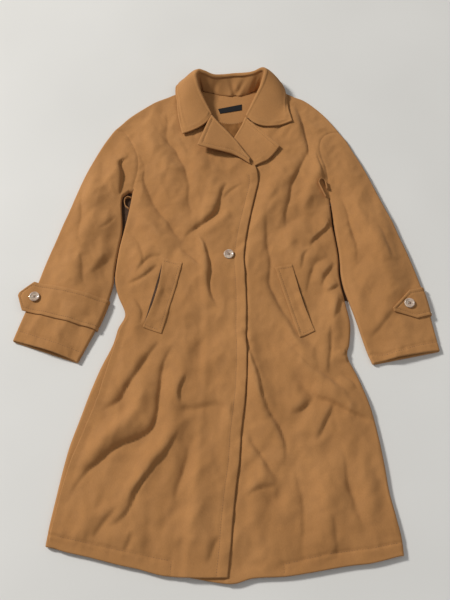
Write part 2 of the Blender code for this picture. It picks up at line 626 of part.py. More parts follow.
def front(name, side, centre, seam, shoulder, hem, surface):
    """One front: from its side seam and armhole to its neckline, roll line and edge.

    side and centre are the first columns of its two edges in BODY.
    """
    facing = armhole(side, column(centre, FLAT_TOP), SEAM / 2)
    inner = column(centre, FLAT_TOP)
    stop = amount(9)
    inner = inner - unit(inner - facing) * stop[:, None]
    way = square_to(facing, inner)
    radius = edge_radius(facing, way)
    reach = np.linalg.norm(inner - facing, axis=1)
    lead = np.arange(STRIP) * STRIP_STEP
    rest = np.linspace(0, 1, FRONT_COLUMNS + 1)[1:]
    shares = []
    for far in reach:
        shares.append(np.concatenate([lead, lead[-1] + rest * (far - lead[-1])]) / far)
    plan = bend(np.array(shares), (facing, inner), shoulder, shoulder_weight())
    points, normals = shoulder_fold(plan, surface)
    for at in np.flatnonzero(FOLDED):
        start = seam_reach(seam[at], radius[at]) + SEAM / 2
        for step in range(STRIP):
            quarter = math.pi / 2 * radius[at]
            where = start + step * quarter / (STRIP - 1)
            found = roll_point(facing[at], way[at], radius[at], where, surface)
            points[at, step], normals[at, step] = found
        inside = points[at, STRIP - 1, :2]
        row = inside + rest[:, None] * (inner[at] - inside)
        chord = hem[0] + rest[:, None] * (hem[-1] - hem[0])
        row += hem_weight()[at] * (along(hem, rest) - chord)
        points[at, STRIP:], normals[at, STRIP:] = on_surface(surface, row)
    return wall(name, points, normals, WALL, "cloth")


def back():
    """The back panel, flat on the floor and turned up to both side seams."""
    left = armhole(0, column(6, SIDE_LEVEL), SEAM / 2)
    right = armhole(6, column(0, SIDE_LEVEL), SEAM / 2)
    crest = np.vstack([layout(SHOULDER_LEFT, SIDE_LEVEL), layout(BACK_NECK, WALL)[1:-1],
                       layout(SHOULDER_RIGHT, SIDE_LEVEL)[::-1]])
    hem = np.vstack([layout(HEM_OVER[:-1], SIDE_LEVEL), layout(HEM_UNDER[:-1], SIDE_LEVEL)[::-1]])
    hem[:, 1] += HEM_BACK_RISE * CM * np.sin(np.linspace(0, math.pi, len(hem)))
    lead = np.arange(BACK_STRIP) * STRIP_STEP
    middle = BACK_SHARES
    shares = []
    for far in np.linalg.norm(right - left, axis=1):
        between = lead[-1] + middle * (far - 2 * lead[-1])
        shares.append(np.concatenate([lead, between, far - lead[::-1]]) / far)
    plan = bend(np.array(shares), (left, right), crest, shoulder_weight())
    points = np.concatenate([plan, np.zeros(plan.shape[:2] + (1,))], -1)
    normals = np.zeros_like(points)
    normals[..., 2] = -1
    neck = layout([BACK_NECK[0], BACK_NECK[-1]], SIDE_LEVEL)
    outwards = unit(plan[0] - plan[len(ROLL)])
    past_neck_point = np.minimum(plan[0, :, 0] - neck[0, 0], neck[1, 0] - plan[0, :, 0])
    share = 1 - smoothstep(past_neck_point / BACK_NECK_EASE)
    for at in range(len(ROLL)):
        drop = 1 - math.sin(ANGLE[at])
        points[at, :, 2] = (FLAT_TOP / 2 - SEAM) * drop * share
        out = np.concatenate([outwards * math.cos(ANGLE[at]), np.zeros((plan.shape[1], 1))], -1)
        normals[at] = unit(normals[at] * (1 - share * drop)[:, None] + out * share[:, None])
    seams = (amount(8), np.zeros(len(STATIONS)))
    for edge, far_edge, seam, order in ((left, right, seams[0], 1), (right, left, seams[1], -1)):
        way = square_to(edge, far_edge)
        radius = edge_radius(edge, way)
        for at in np.flatnonzero(FOLDED):
            quarter = math.pi / 2 * radius[at]
            start = seam_reach(seam[at], radius[at]) - SEAM / 2
            crest_reach = min(quarter, start - TURN_AT_SEAM)
            stops = np.linspace(start, crest_reach, 3)
            stops = np.concatenate([stops, np.linspace(crest_reach, -quarter, BACK_STRIP - 2)[1:]])
            for step, where in enumerate(stops):
                spot = step if order == 1 else plan.shape[1] - 1 - step
                found = roll_point(edge[at], way[at], radius[at], where, top)
                points[at, spot], normals[at, spot] = found
    for at in np.flatnonzero(FOLDED):
        start, end = points[at, BACK_STRIP - 1, :2], points[at, -BACK_STRIP, :2]
        row = start + middle[:, None] * (end - start)
        chord = hem[0] + middle[:, None] * (hem[-1] - hem[0])
        row += hem_weight()[at] * (along(hem, middle) - chord)
        points[at, BACK_STRIP:-BACK_STRIP, :2] = row
    return wall("back", points, normals, WALL, "cloth")


def sleeve_ring(side, body_side, table):
    """Outside points and normals of a sleeve, a flattened ring for each row of its table.

    A ring runs from the outer edge over the top to the inner edge and back along the floor.
    """
    rows = layout(np.array(table).reshape(-1, 2, 2), SIDE_LEVEL)
    seam_line = armhole(side, column(body_side, SIDE_LEVEL), -SEAM / 2)[:RING]
    outer = np.vstack([seam_line[:1], rows[:, 0]])
    inner = np.vstack([seam_line[-1:], rows[:, 1]])
    reach = np.linalg.norm(np.diff(seam_line, axis=0), axis=1)
    first = np.concatenate([[0], np.cumsum(reach)]) / reach.sum()
    even = np.linspace(0, 1, RING)
    inner_angles = np.radians([55, 0, -55])
    points, normals = [], []
    for at, (start, end) in enumerate(zip(outer, inner)):
        way = unit(end - start)
        half = top(*(start + way * FLAT_TOP / 2)) / 2
        if at == 0:
            plan = seam_line
            way_out = unit(seam_line[0] - seam_line[1])
            way_in = unit(seam_line[-1] - seam_line[-2])
            half = FLAT_TOP / 2
            half_in = top(*plan[-1]) / 2
        else:
            way_out, way_in = -way, way
            half_in = top(*(end - way * FLAT_TOP / 2)) / 2
            blend = smoothstep(at / 6)
            share = first * (1 - blend) + even * blend
            left_edge = half * (1 - np.cos(ROLL))
            span = np.linalg.norm(end - start) - half - half_in
            share = (share[len(ROLL):] - share[len(ROLL) - 1]) / (1 - share[len(ROLL) - 1])
            far = np.concatenate([left_edge, half + share * span])
            plan = start + far[:, None] * way
        crown = SLEEVE_CROWN * smoothstep(at / 4) * np.sin(np.linspace(0, math.pi, RING))
        upper, upper_normals = on_surface(top, plan)
        upper[:, 2] += crown
        lower = np.concatenate([plan, np.zeros((RING, 1))], -1)
        lower_normals = np.tile([0.0, 0.0, -1.0], (RING, 1))
        for step, angle in enumerate(ROLL[:-1]):
            out = np.array([*way_out, 0.0]) * math.cos(angle)
            upper[step, 2] = half + (upper[step, 2] - half) * math.sin(angle)
            lower[step, 2] = half * (1 - math.sin(angle))
            upper_normals[step] = unit(out + upper_normals[step] * math.sin(angle))
            lower_normals[step] = unit(out + lower_normals[step] * math.sin(angle))
        centre = plan[-1]
        turned, turned_normals = [], []
        for angle in inner_angles:
            out = np.array([*way_in, 0.0]) * math.cos(angle) + np.array([0.0, 0.0, math.sin(angle)])
            turned.append(np.array([*centre, half_in]) + out * half_in)
            turned_normals.append(out)
        points.append(np.vstack([upper, turned, lower[:0:-1]]))
        normals.append(np.vstack([upper_normals, turned_normals, lower_normals[:0:-1]]))
    return np.array(points), np.array(normals)


def on_ring(ring, row, column):
    """Point and normal of a sleeve between its rows and columns."""
    found = []
    for grid in ring:
        lines, around = grid.shape[:2]
        low, left = min(int(row), lines - 2), math.floor(column)
        down, across = row - low, column - left
        a, b = grid[low, left % around], grid[low, (left + 1) % around]
        c, d = grid[low + 1, left % around], grid[low + 1, (left + 1) % around]
        upper = (1 - across) * a + across * b
        lower = (1 - across) * c + across * d
        found.append((1 - down) * upper + down * lower)
    return found[0], unit(found[1])


def tab_grid(ring, rows, columns):
    """Inside points and normals of a tab that lies between two rows of its sleeve."""
    points, normals = [], []
    for column, narrow in columns:
        middle = (rows[0] + rows[1]) / 2
        ends = [middle + (row - middle) * narrow for row in rows]
        found = [on_ring(ring, row, column) for row in np.linspace(*ends, 4)]
        points.append([point + normal * TAB_CLEAR for point, normal in found])
        normals.append([normal for _, normal in found])
    return np.array(points), np.array(normals)


def tab_right(ring):
    """The tab on the wearer's right sleeve: its point reaches past the outer edge."""
    columns = [(column, 1) for column in (*range(3, 15), TAB_RIGHT_END)]
    points, normals = tab_grid(ring, TAB_RIGHT_ROWS, columns)
    out = unit(points[0] - points[2])
    out[:, 2] = 0
    out = unit(out).mean(axis=0)
    middle = points[0].mean(axis=0)
    point_rows = []
    for reach, width, drop in TAB_RIGHT_TIP:
        row = middle + (points[0] - middle) * width + out * reach * MM
        row[:, 2] = points[0, :, 2].mean() - drop * MM
        point_rows.append(row)
    points = np.concatenate([point_rows, points])
    normals = np.concatenate([np.tile([0.0, 0.0, 1.0], (2, 4, 1)), normals])
    return wall("sleeve_tab_right", points + normals * TAB_THICK, normals, TAB_THICK, "cloth")


def tab_left(ring):
    """The tab on the wearer's left sleeve: round the outer edge, its point inwards."""
    columns = [(column, 1) for column in (-1, 0, 1, 2, 3, TAB_LEFT_SQUARE)]
    point = TAB_LEFT_POINT - TAB_LEFT_SQUARE
    columns += [(TAB_LEFT_SQUARE + point * share, 1 - 0.92 * share) for share in (0.25, 0.5, 0.75, 1)]
    points, normals = tab_grid(ring, TAB_LEFT_ROWS, columns)
    return wall("sleeve_tab_left", points + normals * TAB_THICK, normals, TAB_THICK, "cloth")


# ------------------------------------------------------------------ collar and lapels
def turned_strip(table, crest_radius, leaf_columns):
    """Middle surface of a piece that turns over at a roll line, a row for each station."""
    rows = []
    for row in table:
        points = np.array(row).reshape(4, 3)
        height = points[:, 2] * MM
        seam, roll, pull, edge = np.column_stack([layout(points[:, :2], height), height])
        stand = unit(seam - roll)
        leaf = unit(pull - roll)
        back_way = unit(stand + leaf)
        across = unit(leaf - stand)
        across = unit(across - back_way * np.dot(across, back_way))
        centre = roll + back_way * crest_radius
        arc = [centre + crest_radius * (math.cos(turn) * -across - math.sin(turn) * back_way)
               for turn in np.radians([0, 45, 90, 135, 180])]
        inner = [seam + (arc[0] - seam) * share for share in (0, 0.35, 0.7)]
        outer = []
        for step in range(1, leaf_columns + 1):
            share = step / leaf_columns
            start = arc[-1]
            outer.append((1 - share) ** 2 * start + 2 * share * (1 - share) * pull + share**2 * edge)
        rows.append(inner + arc + outer)
    return np.array(rows)


def grid_normals(points):
    along_rows = np.gradient(points, axis=0)
    along_columns = np.gradient(points, axis=1)
    return unit(np.cross(along_columns, along_rows))


def sheet(name, middle, thick, slot):
    """A wall round a middle surface."""
    normals = grid_normals(middle)
    return wall(name, middle + normals * thick / 2, normals, thick, slot)


# ------------------------------------------------------------------ pieces that lie on a panel
def patch(corners, columns, rows):
    """Plan grid over a four-cornered piece."""
    a, b, c, d = (np.asarray(corner, float) for corner in corners)
    u = np.linspace(0, 1, columns)[None, :, None]
    v = np.linspace(0, 1, rows)[:, None, None]
    return (1 - v) * ((1 - u) * a + u * b) + v * ((1 - u) * d + u * c)


def laid(name, plan, surface, thick, slot):
    """A flat piece on a panel: its points are the panel's, moved out."""
    points = np.concatenate([plan, surface(plan[..., 0], plan[..., 1])[..., None]], -1)
    normals = np.zeros_like(points)
    normals[..., 2] = 1
    return wall(name, points + normals * (thick + CLEAR), normals, thick, slot)


def upper_side(panel, reach):
    """Height of a finished panel: the highest it is within this reach of each point."""
    faces = [face.vertices[:] for face in panel.data.polygons]
    tree = BVHTree.FromPolygons([corner.co for corner in panel.data.vertices], faces)
    spots = [Vector((x, y, 0)) for x in (-reach, 0, reach) for y in (-reach, 0, reach)]

    def height(x, y):
        found = np.zeros(np.shape(x))
        for at, place in enumerate(zip(np.ravel(x), np.ravel(y))):
            above = Vector((*place, 1))
            hits = [tree.ray_cast(above + spot, Vector((0, 0, -1)))[0] for spot in spots]
            found.flat[at] = max((hit.z for hit in hits if hit is not None), default=0)
        return found

    return height


def welt(name, corners, panel):
    plan = patch(layout(corners, 14 * MM), 4, 12)
    laid(name, plan, upper_side(panel, 8 * MM), WELT_THICK, "cloth")


def inside_neck():
    """What shows inside the back between the lapels: back facing, lining and a bare label."""
    rows = np.array(NECK_FACING)
    upper, lower = layout(rows[:, :2], 4 * MM), layout(rows[:, 2:], 4 * MM)
    shares = np.linspace(0, 1, 5)[:, None, None]
    on_back = on_level(WALL)
    laid("neck_facing", upper + shares * (lower - upper), on_back, FACING_THICK, "cloth")
    top_edge = lower - np.array([0, 1.6 * SEAM])
    foot = np.stack([top_edge[:, 0], np.full(len(rows), layout([(0, LINING_FOOT)], 4 * MM)[0, 1])], -1)
    laid("back_lining", top_edge + shares * (foot - top_edge), on_back, FACING_THICK, "lining")
    on_facing = on_level(WALL + CLEAR + FACING_THICK)
    laid("neck_label", patch(layout(LABEL, 6 * MM), 5, 3), on_facing, LABEL_THICK, "label")


def on_level(level):
    """A flat surface at this height."""
    return lambda x, y: np.full(np.shape(x), level)


def belt_loop(name, table, surface, level):
    """A narrow band on edge over a surface, read at this level."""
    table = np.array(table)
    line = layout(table[:, :2], level)
    foot = np.column_stack([line, surface(line[:, 0], line[:, 1]) + table[:, 2] * MM])
    middle = np.stack([foot, foot + np.array([0, 0, LOOP_WIDTH])], axis=1)
    sheet(name, middle, LOOP_THICK, "cloth")


def rest_on(surface, plan):
    """Height at which a button's foot clears the cloth under all of it."""
    turns = np.linspace(0, 2 * math.pi, 24)
    circle = np.column_stack([np.cos(turns), np.sin(turns)])
    reach = BUTTON_WIDTH / 2 * np.array([0, 0.4, 0.8])
    spots = plan + np.concatenate([far * circle for far in reach])
    return surface(spots[:, 0], spots[:, 1]).max() + CLEAR


def disc_button(name, plan, rest):
    """A four-holed button with a raised rim."""
    mesh = bpy.data.meshes.new(name)
    shape = bmesh.new()
    line = [shape.verts.new((x * MM, 0, z * MM)) for x, z in BUTTON_SECTION]
    edges = [shape.edges.new(pair) for pair in zip(line[:-1], line[1:])]
    bmesh.ops.spin(shape, geom=line + edges, cent=(0, 0, 0), axis=(0, 0, 1),
                   angle=2 * math.pi, steps=BUTTON_STEPS)
    bmesh.ops.remove_doubles(shape, verts=shape.verts, dist=0.00001)
    bmesh.ops.recalc_face_normals(shape, faces=shape.faces)
    shape.to_mesh(mesh)
    shape.free()
    button = bpy.data.objects.new(name, mesh)
    button.location = (*plan, rest)
    coat().objects.link(button)
    button.data.materials.append(material("button"))
    for turn in range(4):
        angle = math.pi / 4 + turn * math.pi / 2
        cutter(button, plan + HOLE_REACH * np.array([math.cos(angle), math.sin(angle)]), rest)


def cutter(button, plan, rest):
    """A thread hole: a drill through the button, kept as a wire outline."""
    bpy.ops.mesh.primitive_cylinder_add(vertices=8, radius=HOLE_WIDTH / 2,
                                        depth=3 * BUTTON_THICK, location=(*plan, rest))
    drill = bpy.context.object
    drill.name = button.name + "_drill"
    drill.hide_render = True
    drill.display_type = "WIRE"
    for home in drill.users_collection:
        home.objects.unlink(drill)
    drills().objects.link(drill)
    hole = button.modifiers.new("hole", "BOOLEAN")
    hole.operation = "DIFFERENCE"
    hole.solver = "EXACT"
    hole.object = drill


def drills():
    found = bpy.data.collections.get("cutters")
    if found is None:
        found = bpy.data.collections.new("cutters")
        bpy.context.scene.collection.children.link(found)
    return found


# ------------------------------------------------------------------ assembly
def clear_scene():
    for piece in list(bpy.data.objects):
        bpy.data.objects.remove(piece, do_unlink=True)


def main():
    clear_scene()
    no_seam = np.zeros(len(STATIONS))
    right = front("front_right", 0, 2, amount(8), layout(SHOULDER_LEFT, SIDE_LEVEL),
                  layout(HEM_OVER, FRONT_LEVEL), top_over)
    left = front("front_left", 6, 4, no_seam, layout(SHOULDER_RIGHT, SIDE_LEVEL),
                 layout(HEM_UNDER, FRONT_LEVEL), top_under)
    back()
    ring_right = sleeve_ring(0, 2, SLEEVE_LEFT)
    ring_left = sleeve_ring(6, 4, SLEEVE_RIGHT)
    wall("sleeve_right", *ring_right, WALL, "cloth", ring=True)
    wall("sleeve_left", *ring_left, WALL, "cloth", ring=True)
    sheet("collar", turned_strip(COLLAR, 3.4 * MM, 5), FACED, "cloth")
    sheet("lapel_right", turned_strip(LAPEL_RIGHT, 3.4 * MM, 4), FACED, "cloth")
    sheet("lapel_left", turned_strip(LAPEL_LEFT, 2.6 * MM, 4), WALL, "cloth")
    welt("pocket_welt_right", WELT_RIGHT, right)
    welt("pocket_welt_left", WELT_LEFT, left)
    inside_neck()
    belt_loop("belt_loop_left", LOOP_LEFT, upper_side(left, 1 * MM), 14 * MM)
    belt_loop("belt_loop_right", LOOP_RIGHT, on_level(0), 5 * MM)
    names = ("button_front", "button_tab_right", "button_tab_left")
    place = layout([BUTTON_FRONT, BUTTON_TAB_RIGHT, BUTTON_TAB_LEFT], 16 * MM)
    under = (right, tab_right(ring_right), tab_left(ring_left))
    for name, plan, carrier in zip(names, place, under):
        disc_button(name, plan, rest_on(upper_side(carrier, 0), plan))


main()
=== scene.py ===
import math

import bmesh
import bpy
import numpy as np
from mathutils import Matrix, Vector, noise


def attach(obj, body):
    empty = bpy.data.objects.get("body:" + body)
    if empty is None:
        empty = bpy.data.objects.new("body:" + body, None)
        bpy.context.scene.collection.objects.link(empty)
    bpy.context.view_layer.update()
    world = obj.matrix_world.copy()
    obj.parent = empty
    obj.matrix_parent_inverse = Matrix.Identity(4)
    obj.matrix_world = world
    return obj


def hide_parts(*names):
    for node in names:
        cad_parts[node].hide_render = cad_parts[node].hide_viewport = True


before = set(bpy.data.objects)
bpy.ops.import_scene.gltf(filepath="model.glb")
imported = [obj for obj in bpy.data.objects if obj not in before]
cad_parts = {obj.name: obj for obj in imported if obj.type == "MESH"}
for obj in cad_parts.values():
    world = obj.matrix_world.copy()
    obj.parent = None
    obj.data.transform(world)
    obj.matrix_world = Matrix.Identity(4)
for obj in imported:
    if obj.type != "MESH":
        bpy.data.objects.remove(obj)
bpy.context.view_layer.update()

# The coat of the frame, dressed: fine closed shells of cloth on the forms of the solids,
# with the folds, seams and stitching placed one by one. The plan tables are in centimetres
# as seen from EYE against READ_LEVEL; seen() slides each point down its sight line.

# ------------------------------------------------------------------ sizes
CM = 0.01
MM = 0.001
EYE = np.array([3.855, -78.761, 160.704]) * CM
READ_LEVEL = 10 * MM
MIDDLE = np.array([-2.0, 0.35]) * CM

WALL = 2.8 * MM
FACED = 4.6 * MM             # collar and lapels, with their turned edges
HEMMED = 4.8 * MM            # edges where the cloth is turned in
FLAT_TOP = 10 * MM
PUFF = 5 * MM                # how much higher a panel stands away from its edges
PUFF_REACH = 70 * MM
SEAM = 0.3 * MM
CLEAR = 0.35 * MM
LOWEST_TOP = 6.6 * MM
HIDDEN_TOP = 8 * MM          # the lower front where the upper one hides it
UNDER_EDGE_LIFT = 3.4 * MM   # how much the upper front rises over the lower front's edge
SIDE_LEVEL = 7 * MM          # level at which the outline is read
SLEEVE_CROWN = 5 * MM
CUFF_DROP = 3.2 * MM         # how much flatter the sleeves lie at the cuffs
CUFF_SETBACK = 2.6 * MM      # how much sooner the upper layer of a cuff ends
CREASE_GAIN = 2.5            # factors on the heights of CREASES and FOLDS
FOLD_GAIN = 1.7
EDGE_TURNED = 20 * MM        # width of the turned front edge, and how far it fades out
EDGE_FADE = 20 * MM
HEM_TURNED = 26 * MM
HEM_FADE = 14 * MM
WELT_THICK = 1.9 * MM
TAB_THICK = 3.2 * MM
TAB_CLEAR = 0.6 * MM
OFF_FLOOR = 0.2 * MM         # the least height of anything that might dip into the floor
STITCH_INSET = 8 * MM        # topstitching from an edge of the collar or a lapel
FRONT_INSET = 19 * MM        # from the front edges
TAB_INSET = 6.5 * MM
WELT_INSET = 5.5 * MM

# ------------------------------------------------------------------ tables
# One row for each level of the body.  left/right: outline or armhole on the
# wearer's right and left; over/under: neckline, lapel roll line, then front edge
# of the upper and the lower front; seam: how far the left side seam lies inside
# the outline; turn: how far the front stops short of its neckline or roll line.
BODY = (
    # left x, y,    over x, y,     under x, y,    right x, y,   seam, turn
    (-30.5, 40.7, -11.9, 54.4, 3.0, 54.9, 21.9, 42.3, 0, 0.2),    # shoulder
    (-28.2, 40.4, -11.3, 52.3, 2.4, 52.6, 20.0, 42.2, 0, 0.7),
    (-27.2, 39.3, -10.6, 50.6, 1.7, 50.6, 18.5, 41.3, 0, 0.9),
    (-26.1, 37.4, -9.8, 48.8, 1.0, 48.6, 17.5, 39.6, 0, 0.9),
    (-25.0, 35.3, -8.6, 46.9, 0.2, 46.4, 17.2, 37.2, 0, 1.65),     # lapels start
    (-24.2, 33.2, -6.5, 44.6, -0.6, 44.0, 17.7, 34.6, 0, 1.65),
    (-23.8, 31.0, -4.5, 42.2, -1.4, 41.8, 18.5, 32.2, 0, 1.65),
    (-23.8, 28.6, -2.4, 39.6, -2.3, 39.6, 19.0, 29.6, 0, 1.65),
    (-24.1, 26.4, -0.6, 36.9, -3.3, 37.2, 19.3, 26.8, 0, 1.65),
    (-24.4, 24.6, 1.1, 34.3, -4.2, 34.6, 19.5, 24.4, 0, 1.5),     # underarm
    (-24.6, 21.3, 2.6, 31.8, -4.9, 31.5, 19.75, 21.0, 0, 0),      # break
    (-24.95, 17.5, 3.3, 28.3, -5.5, 28.0, 20.1, 17.5, 0, 0),
    (-25.4, 13.8, 2.7, 24.0, -6.4, 24.0, 20.8, 13.6, 0, 0),
    (-25.9, 9.5, 1.9, 19.0, -7.0, 19.0, 21.4, 9.5, 0, 0),
    (-26.1, 5.5, 1.2, 13.5, -7.3, 13.5, 21.5, 5.5, 0, 0),
    (-26.0, 1.9, 0.9, 8.5, -6.9, 8.5, 22.1, 1.8, 0, 0),
    (-24.9, -1.8, 1.4, 3.0, -6.0, 3.0, 23.0, -2.0, 0, 0),
    (-23.0, -6.0, 1.9, -3.0, -5.2, -3.0, 23.8, -6.0, 0, 0),       # waist
    (-24.1, -9.3, 2.1, -8.0, -4.9, -8.0, 23.6, -10.3, 0.3, 0),
    (-24.8, -13.0, 2.4, -13.0, -4.7, -13.0, 23.2, -13.3, 0.6, 0),
    (-26.6, -18.0, 2.6, -18.5, -4.5, -18.5, 25.4, -18.0, 1.5, 0),
    (-28.2, -23.5, 2.5, -24.5, -4.5, -24.5, 27.5, -23.5, 2.1, 0),
    (-29.5, -29.0, 2.1, -30.5, -4.7, -30.5, 28.9, -29.0, 1.8, 0),
    (-30.8, -34.5, 2.0, -36.0, -4.9, -36.0, 30.0, -35.0, 1.6, 0),
    (-31.5, -39.5, 1.6, -41.5, -5.1, -41.5, 30.8, -40.3, 1.1, 0),
    (-32.1, -45.0, 1.3, -47.0, -5.3, -47.0, 31.9, -44.8, 0.8, 0),
    (-32.6, -50.0, 1.15, -52.5, -5.5, -52.3, 32.8, -48.8, 0.7, 0),
    (-32.8, -53.6, 0.9, -57.3, -5.6, -57.6, 33.1, -51.8, 0.7, 0), # hem
)
UNDERARM = 9                 # row of BODY where the armholes end
LEFT, OVER, UNDER, RIGHT, SEAM_INSET, TURN_GAP = 0, 2, 4, 6, 8, 9     # its columns

# Edges that bend between two columns of BODY, each from the outside inwards.
SHOULDER_LEFT = ((-30.5, 40.7), (-29.0, 42.5), (-27.5, 44.4), (-26.0, 45.9), (-23.5, 48.1),
                 (-21.3, 49.8), (-19.0, 51.0), (-16.0, 52.7), (-11.9, 54.4))
SHOULDER_RIGHT = ((21.9, 42.3), (20.0, 45.0), (18.0, 47.5), (16.0, 49.5), (14.5, 50.8),
                  (13.0, 51.8), (11.0, 52.6), (8.7, 53.7), (3.0, 54.9))
BACK_NECK = ((-11.9, 54.4), (-9.0, 53.1), (-6.5, 52.5), (-4.0, 52.2), (-1.8, 52.4), (0.4, 53.2),
             (3.0, 54.9))
HEM_OVER = ((-32.8, -53.6), (-30.5, -54.2), (-26.0, -54.9), (-20.0, -56.0), (-16.0, -56.6),
            (-11.0, -57.5), (-5.0, -57.6), (0.9, -57.3))
HEM_UNDER = ((33.1, -51.8), (28.0, -53.3), (24.3, -53.9), (20.4, -54.7), (16.4, -55.6),
             (11.7, -56.5), (5.9, -57.1), (1.7, -58.3), (-5.6, -57.6))
HEM_BACK_RISE = 0.8          # the back's hem stays this far inside the fronts'

# A row for each section of a sleeve, from the armhole to the cuff.
SLEEVE_LEFT = (
    # outer x, y,  inner x, y
    (-32.2, 37.3, -25.5, 23.7),
    (-33.5, 34.1, -26.5, 22.7),
    (-34.7, 30.7, -26.6, 20.9),
    (-35.8, 27.2, -26.3, 18.6),
    (-36.8, 23.3, -25.95, 16.1),
    (-37.8, 18.9, -25.75, 13.3),
    (-38.9, 14.8, -25.95, 10.3),
    (-39.8, 11.2, -26.2, 7.0),
    (-40.7, 7.6, -26.3, 3.8),
    (-41.5, 4.2, -26.2, 0.8),
    (-42.2, 0.8, -26.7, -2.6),
    (-43.0, -2.6, -27.5, -6.0),
    (-43.9, -6.2, -28.6, -9.6),
    (-44.8, -9.8, -30.1, -13.6),
    (-45.5, -12.9, -31.4, -17.0),
)
SLEEVE_RIGHT = (
    (23.4, 40.2, 19.8, 23.1),
    (24.8, 37.4, 19.95, 22.1),
    (26.2, 34.8, 20.05, 20.8),
    (27.7, 31.7, 20.25, 19.3),
    (29.1, 28.5, 20.5, 17.4),
    (30.6, 25.0, 20.8, 15.2),
    (32.0, 21.8, 21.15, 13.0),
    (33.3, 19.0, 21.5, 10.8),
    (34.5, 15.7, 21.75, 8.2),
    (35.9, 12.1, 21.9, 5.4),
    (37.2, 8.4, 22.5, 2.2),
    (38.4, 4.7, 23.6, -1.2),
    (39.4, 1.0, 24.8, -4.8),
    (40.3, -3.0, 26.0, -8.6),
    (41.1, -7.0, 27.1, -12.0),
    (41.9, -10.9, 28.1, -14.5),
)

# Collar stations from the wearer's right lapel round the back to the left one:
# seam at the neck, crest of the roll, a point that pulls the leaf, leaf's edge.
COLLAR = (
    # seam x, y, z mm      roll x, y, z       pull x, y, z        edge x, y, z
    (-9.1, 46.5, 11.5, -8.3, 46.8, 18, -9.0, 43.2, 24, -14.4, 40.9, 21),
    (-10.3, 48.6, 12, -9.4, 49.2, 23, -12.0, 46.0, 26, -15.2, 43.6, 18),
    (-11.4, 50.5, 12, -10.5, 51.6, 29, -13.8, 49.2, 28, -15.9, 46.8, 16),
    (-12.1, 52.2, 12, -11.5, 54.0, 35, -14.9, 52.2, 33, -16.35, 50.0, 15),
    (-12.3, 53.6, 12, -12.2, 56.3, 41, -15.2, 54.6, 34, -16.9, 52.7, 14),
    (-11.9, 54.4, 10, -12.6, 58.3, 45, -15.2, 56.7, 34, -16.6, 54.9, 6),
    (-11.1, 54.0, 7, -12.0, 59.6, 46, -13.6, 59.6, 24, -14.3, 56.5, 3),
    (-9.9, 53.45, 5.6, -10.6, 59.2, 42, -11.2, 59.5, 14, -11.5, 55.6, 2.4),
    (-8.2, 52.95, 4.8, -8.4, 58.2, 34, -8.6, 58.6, 8, -8.6, 54.5, 2.4),
    (-6.0, 52.45, 4.6, -5.9, 58.3, 29, -6.0, 58.6, 5, -6.0, 54.1, 2.4),
    (-3.8, 52.3, 4.6, -3.5, 58.7, 28, -3.5, 59.0, 5, -3.6, 53.9, 2.4),
    (-1.6, 52.5, 4.7, -1.0, 59.0, 31, -0.9, 59.3, 8, -1.0, 54.4, 2.4),
    (0.5, 53.35, 5.5, 1.3, 59.6, 38, 1.8, 59.9, 14, 2.2, 55.8, 2.4),
    (2.0, 54.5, 7, 3.2, 60.8, 45, 4.6, 60.9, 24, 5.2, 57.2, 3),
    (3.0, 55.1, 10, 4.1, 60.2, 46, 7.0, 58.6, 33, 8.0, 55.7, 6),
    (3.3, 54.2, 12, 3.8, 57.9, 41, 8.0, 56.2, 33, 9.1, 53.2, 14),
    (3.1, 52.5, 12, 3.2, 55.5, 35, 7.8, 53.2, 31, 9.4, 50.6, 15),
    (2.4, 50.6, 12, 2.3, 52.9, 29, 6.8, 50.0, 26, 9.8, 48.1, 15.5),
    (1.6, 48.6, 12, 1.3, 50.0, 23, 5.0, 46.8, 23, 10.2, 46.4, 16),
    (0.9, 46.4, 11.5, 0.2, 46.8, 18, 3.2, 42.2, 20, 10.6, 44.9, 17),
)

# Tucks in the collar's stand: station at the seam and at the roll, width, depth.
COLLAR_TUCKS = (
    (10.4, 9.5, 0.30, 3.0),
    (10.5, 11.5, 0.30, 2.6),
    (8.0, 8.5, 0.35, 1.6),
    (12.2, 12.6, 0.30, 1.6),
    (6.2, 5.6, 0.30, 2.2),
)

# Lapel stations from the gorge down to the break, with the same columns.
NECK_MIDDLE = (-4.0, 48.0)
LEAF_CLEAR = 1.6 * MM
LAPEL_RIGHT = (
    (-8.7, 45.6, 9.5, -8.1, 46.2, 18, -9.2, 43.0, 27, -10.6, 37.9, 35),
    (-7.3, 43.6, 9.5, -6.5, 44.2, 19, -7.6, 41.4, 29, -9.0, 37.4, 35),
    (-5.9, 41.9, 10.5, -4.9, 42.4, 20, -5.9, 40.1, 29, -7.0, 36.9, 33),
    (-4.3, 40.0, 14, -3.3, 40.5, 21, -3.9, 38.6, 28, -4.6, 36.3, 30),
    (-2.7, 38.0, 16.5, -1.7, 38.5, 23, -2.0, 37.2, 25, -2.3, 35.6, 25),
    (-1.2, 36.1, 17, -0.3, 36.5, 23.5, -0.4, 35.6, 24, -0.5, 34.6, 23.5),
    (0.4, 34.2, 17, 1.2, 34.5, 23.5, 1.2, 34.0, 23.5, 1.3, 33.3, 22.5),
)
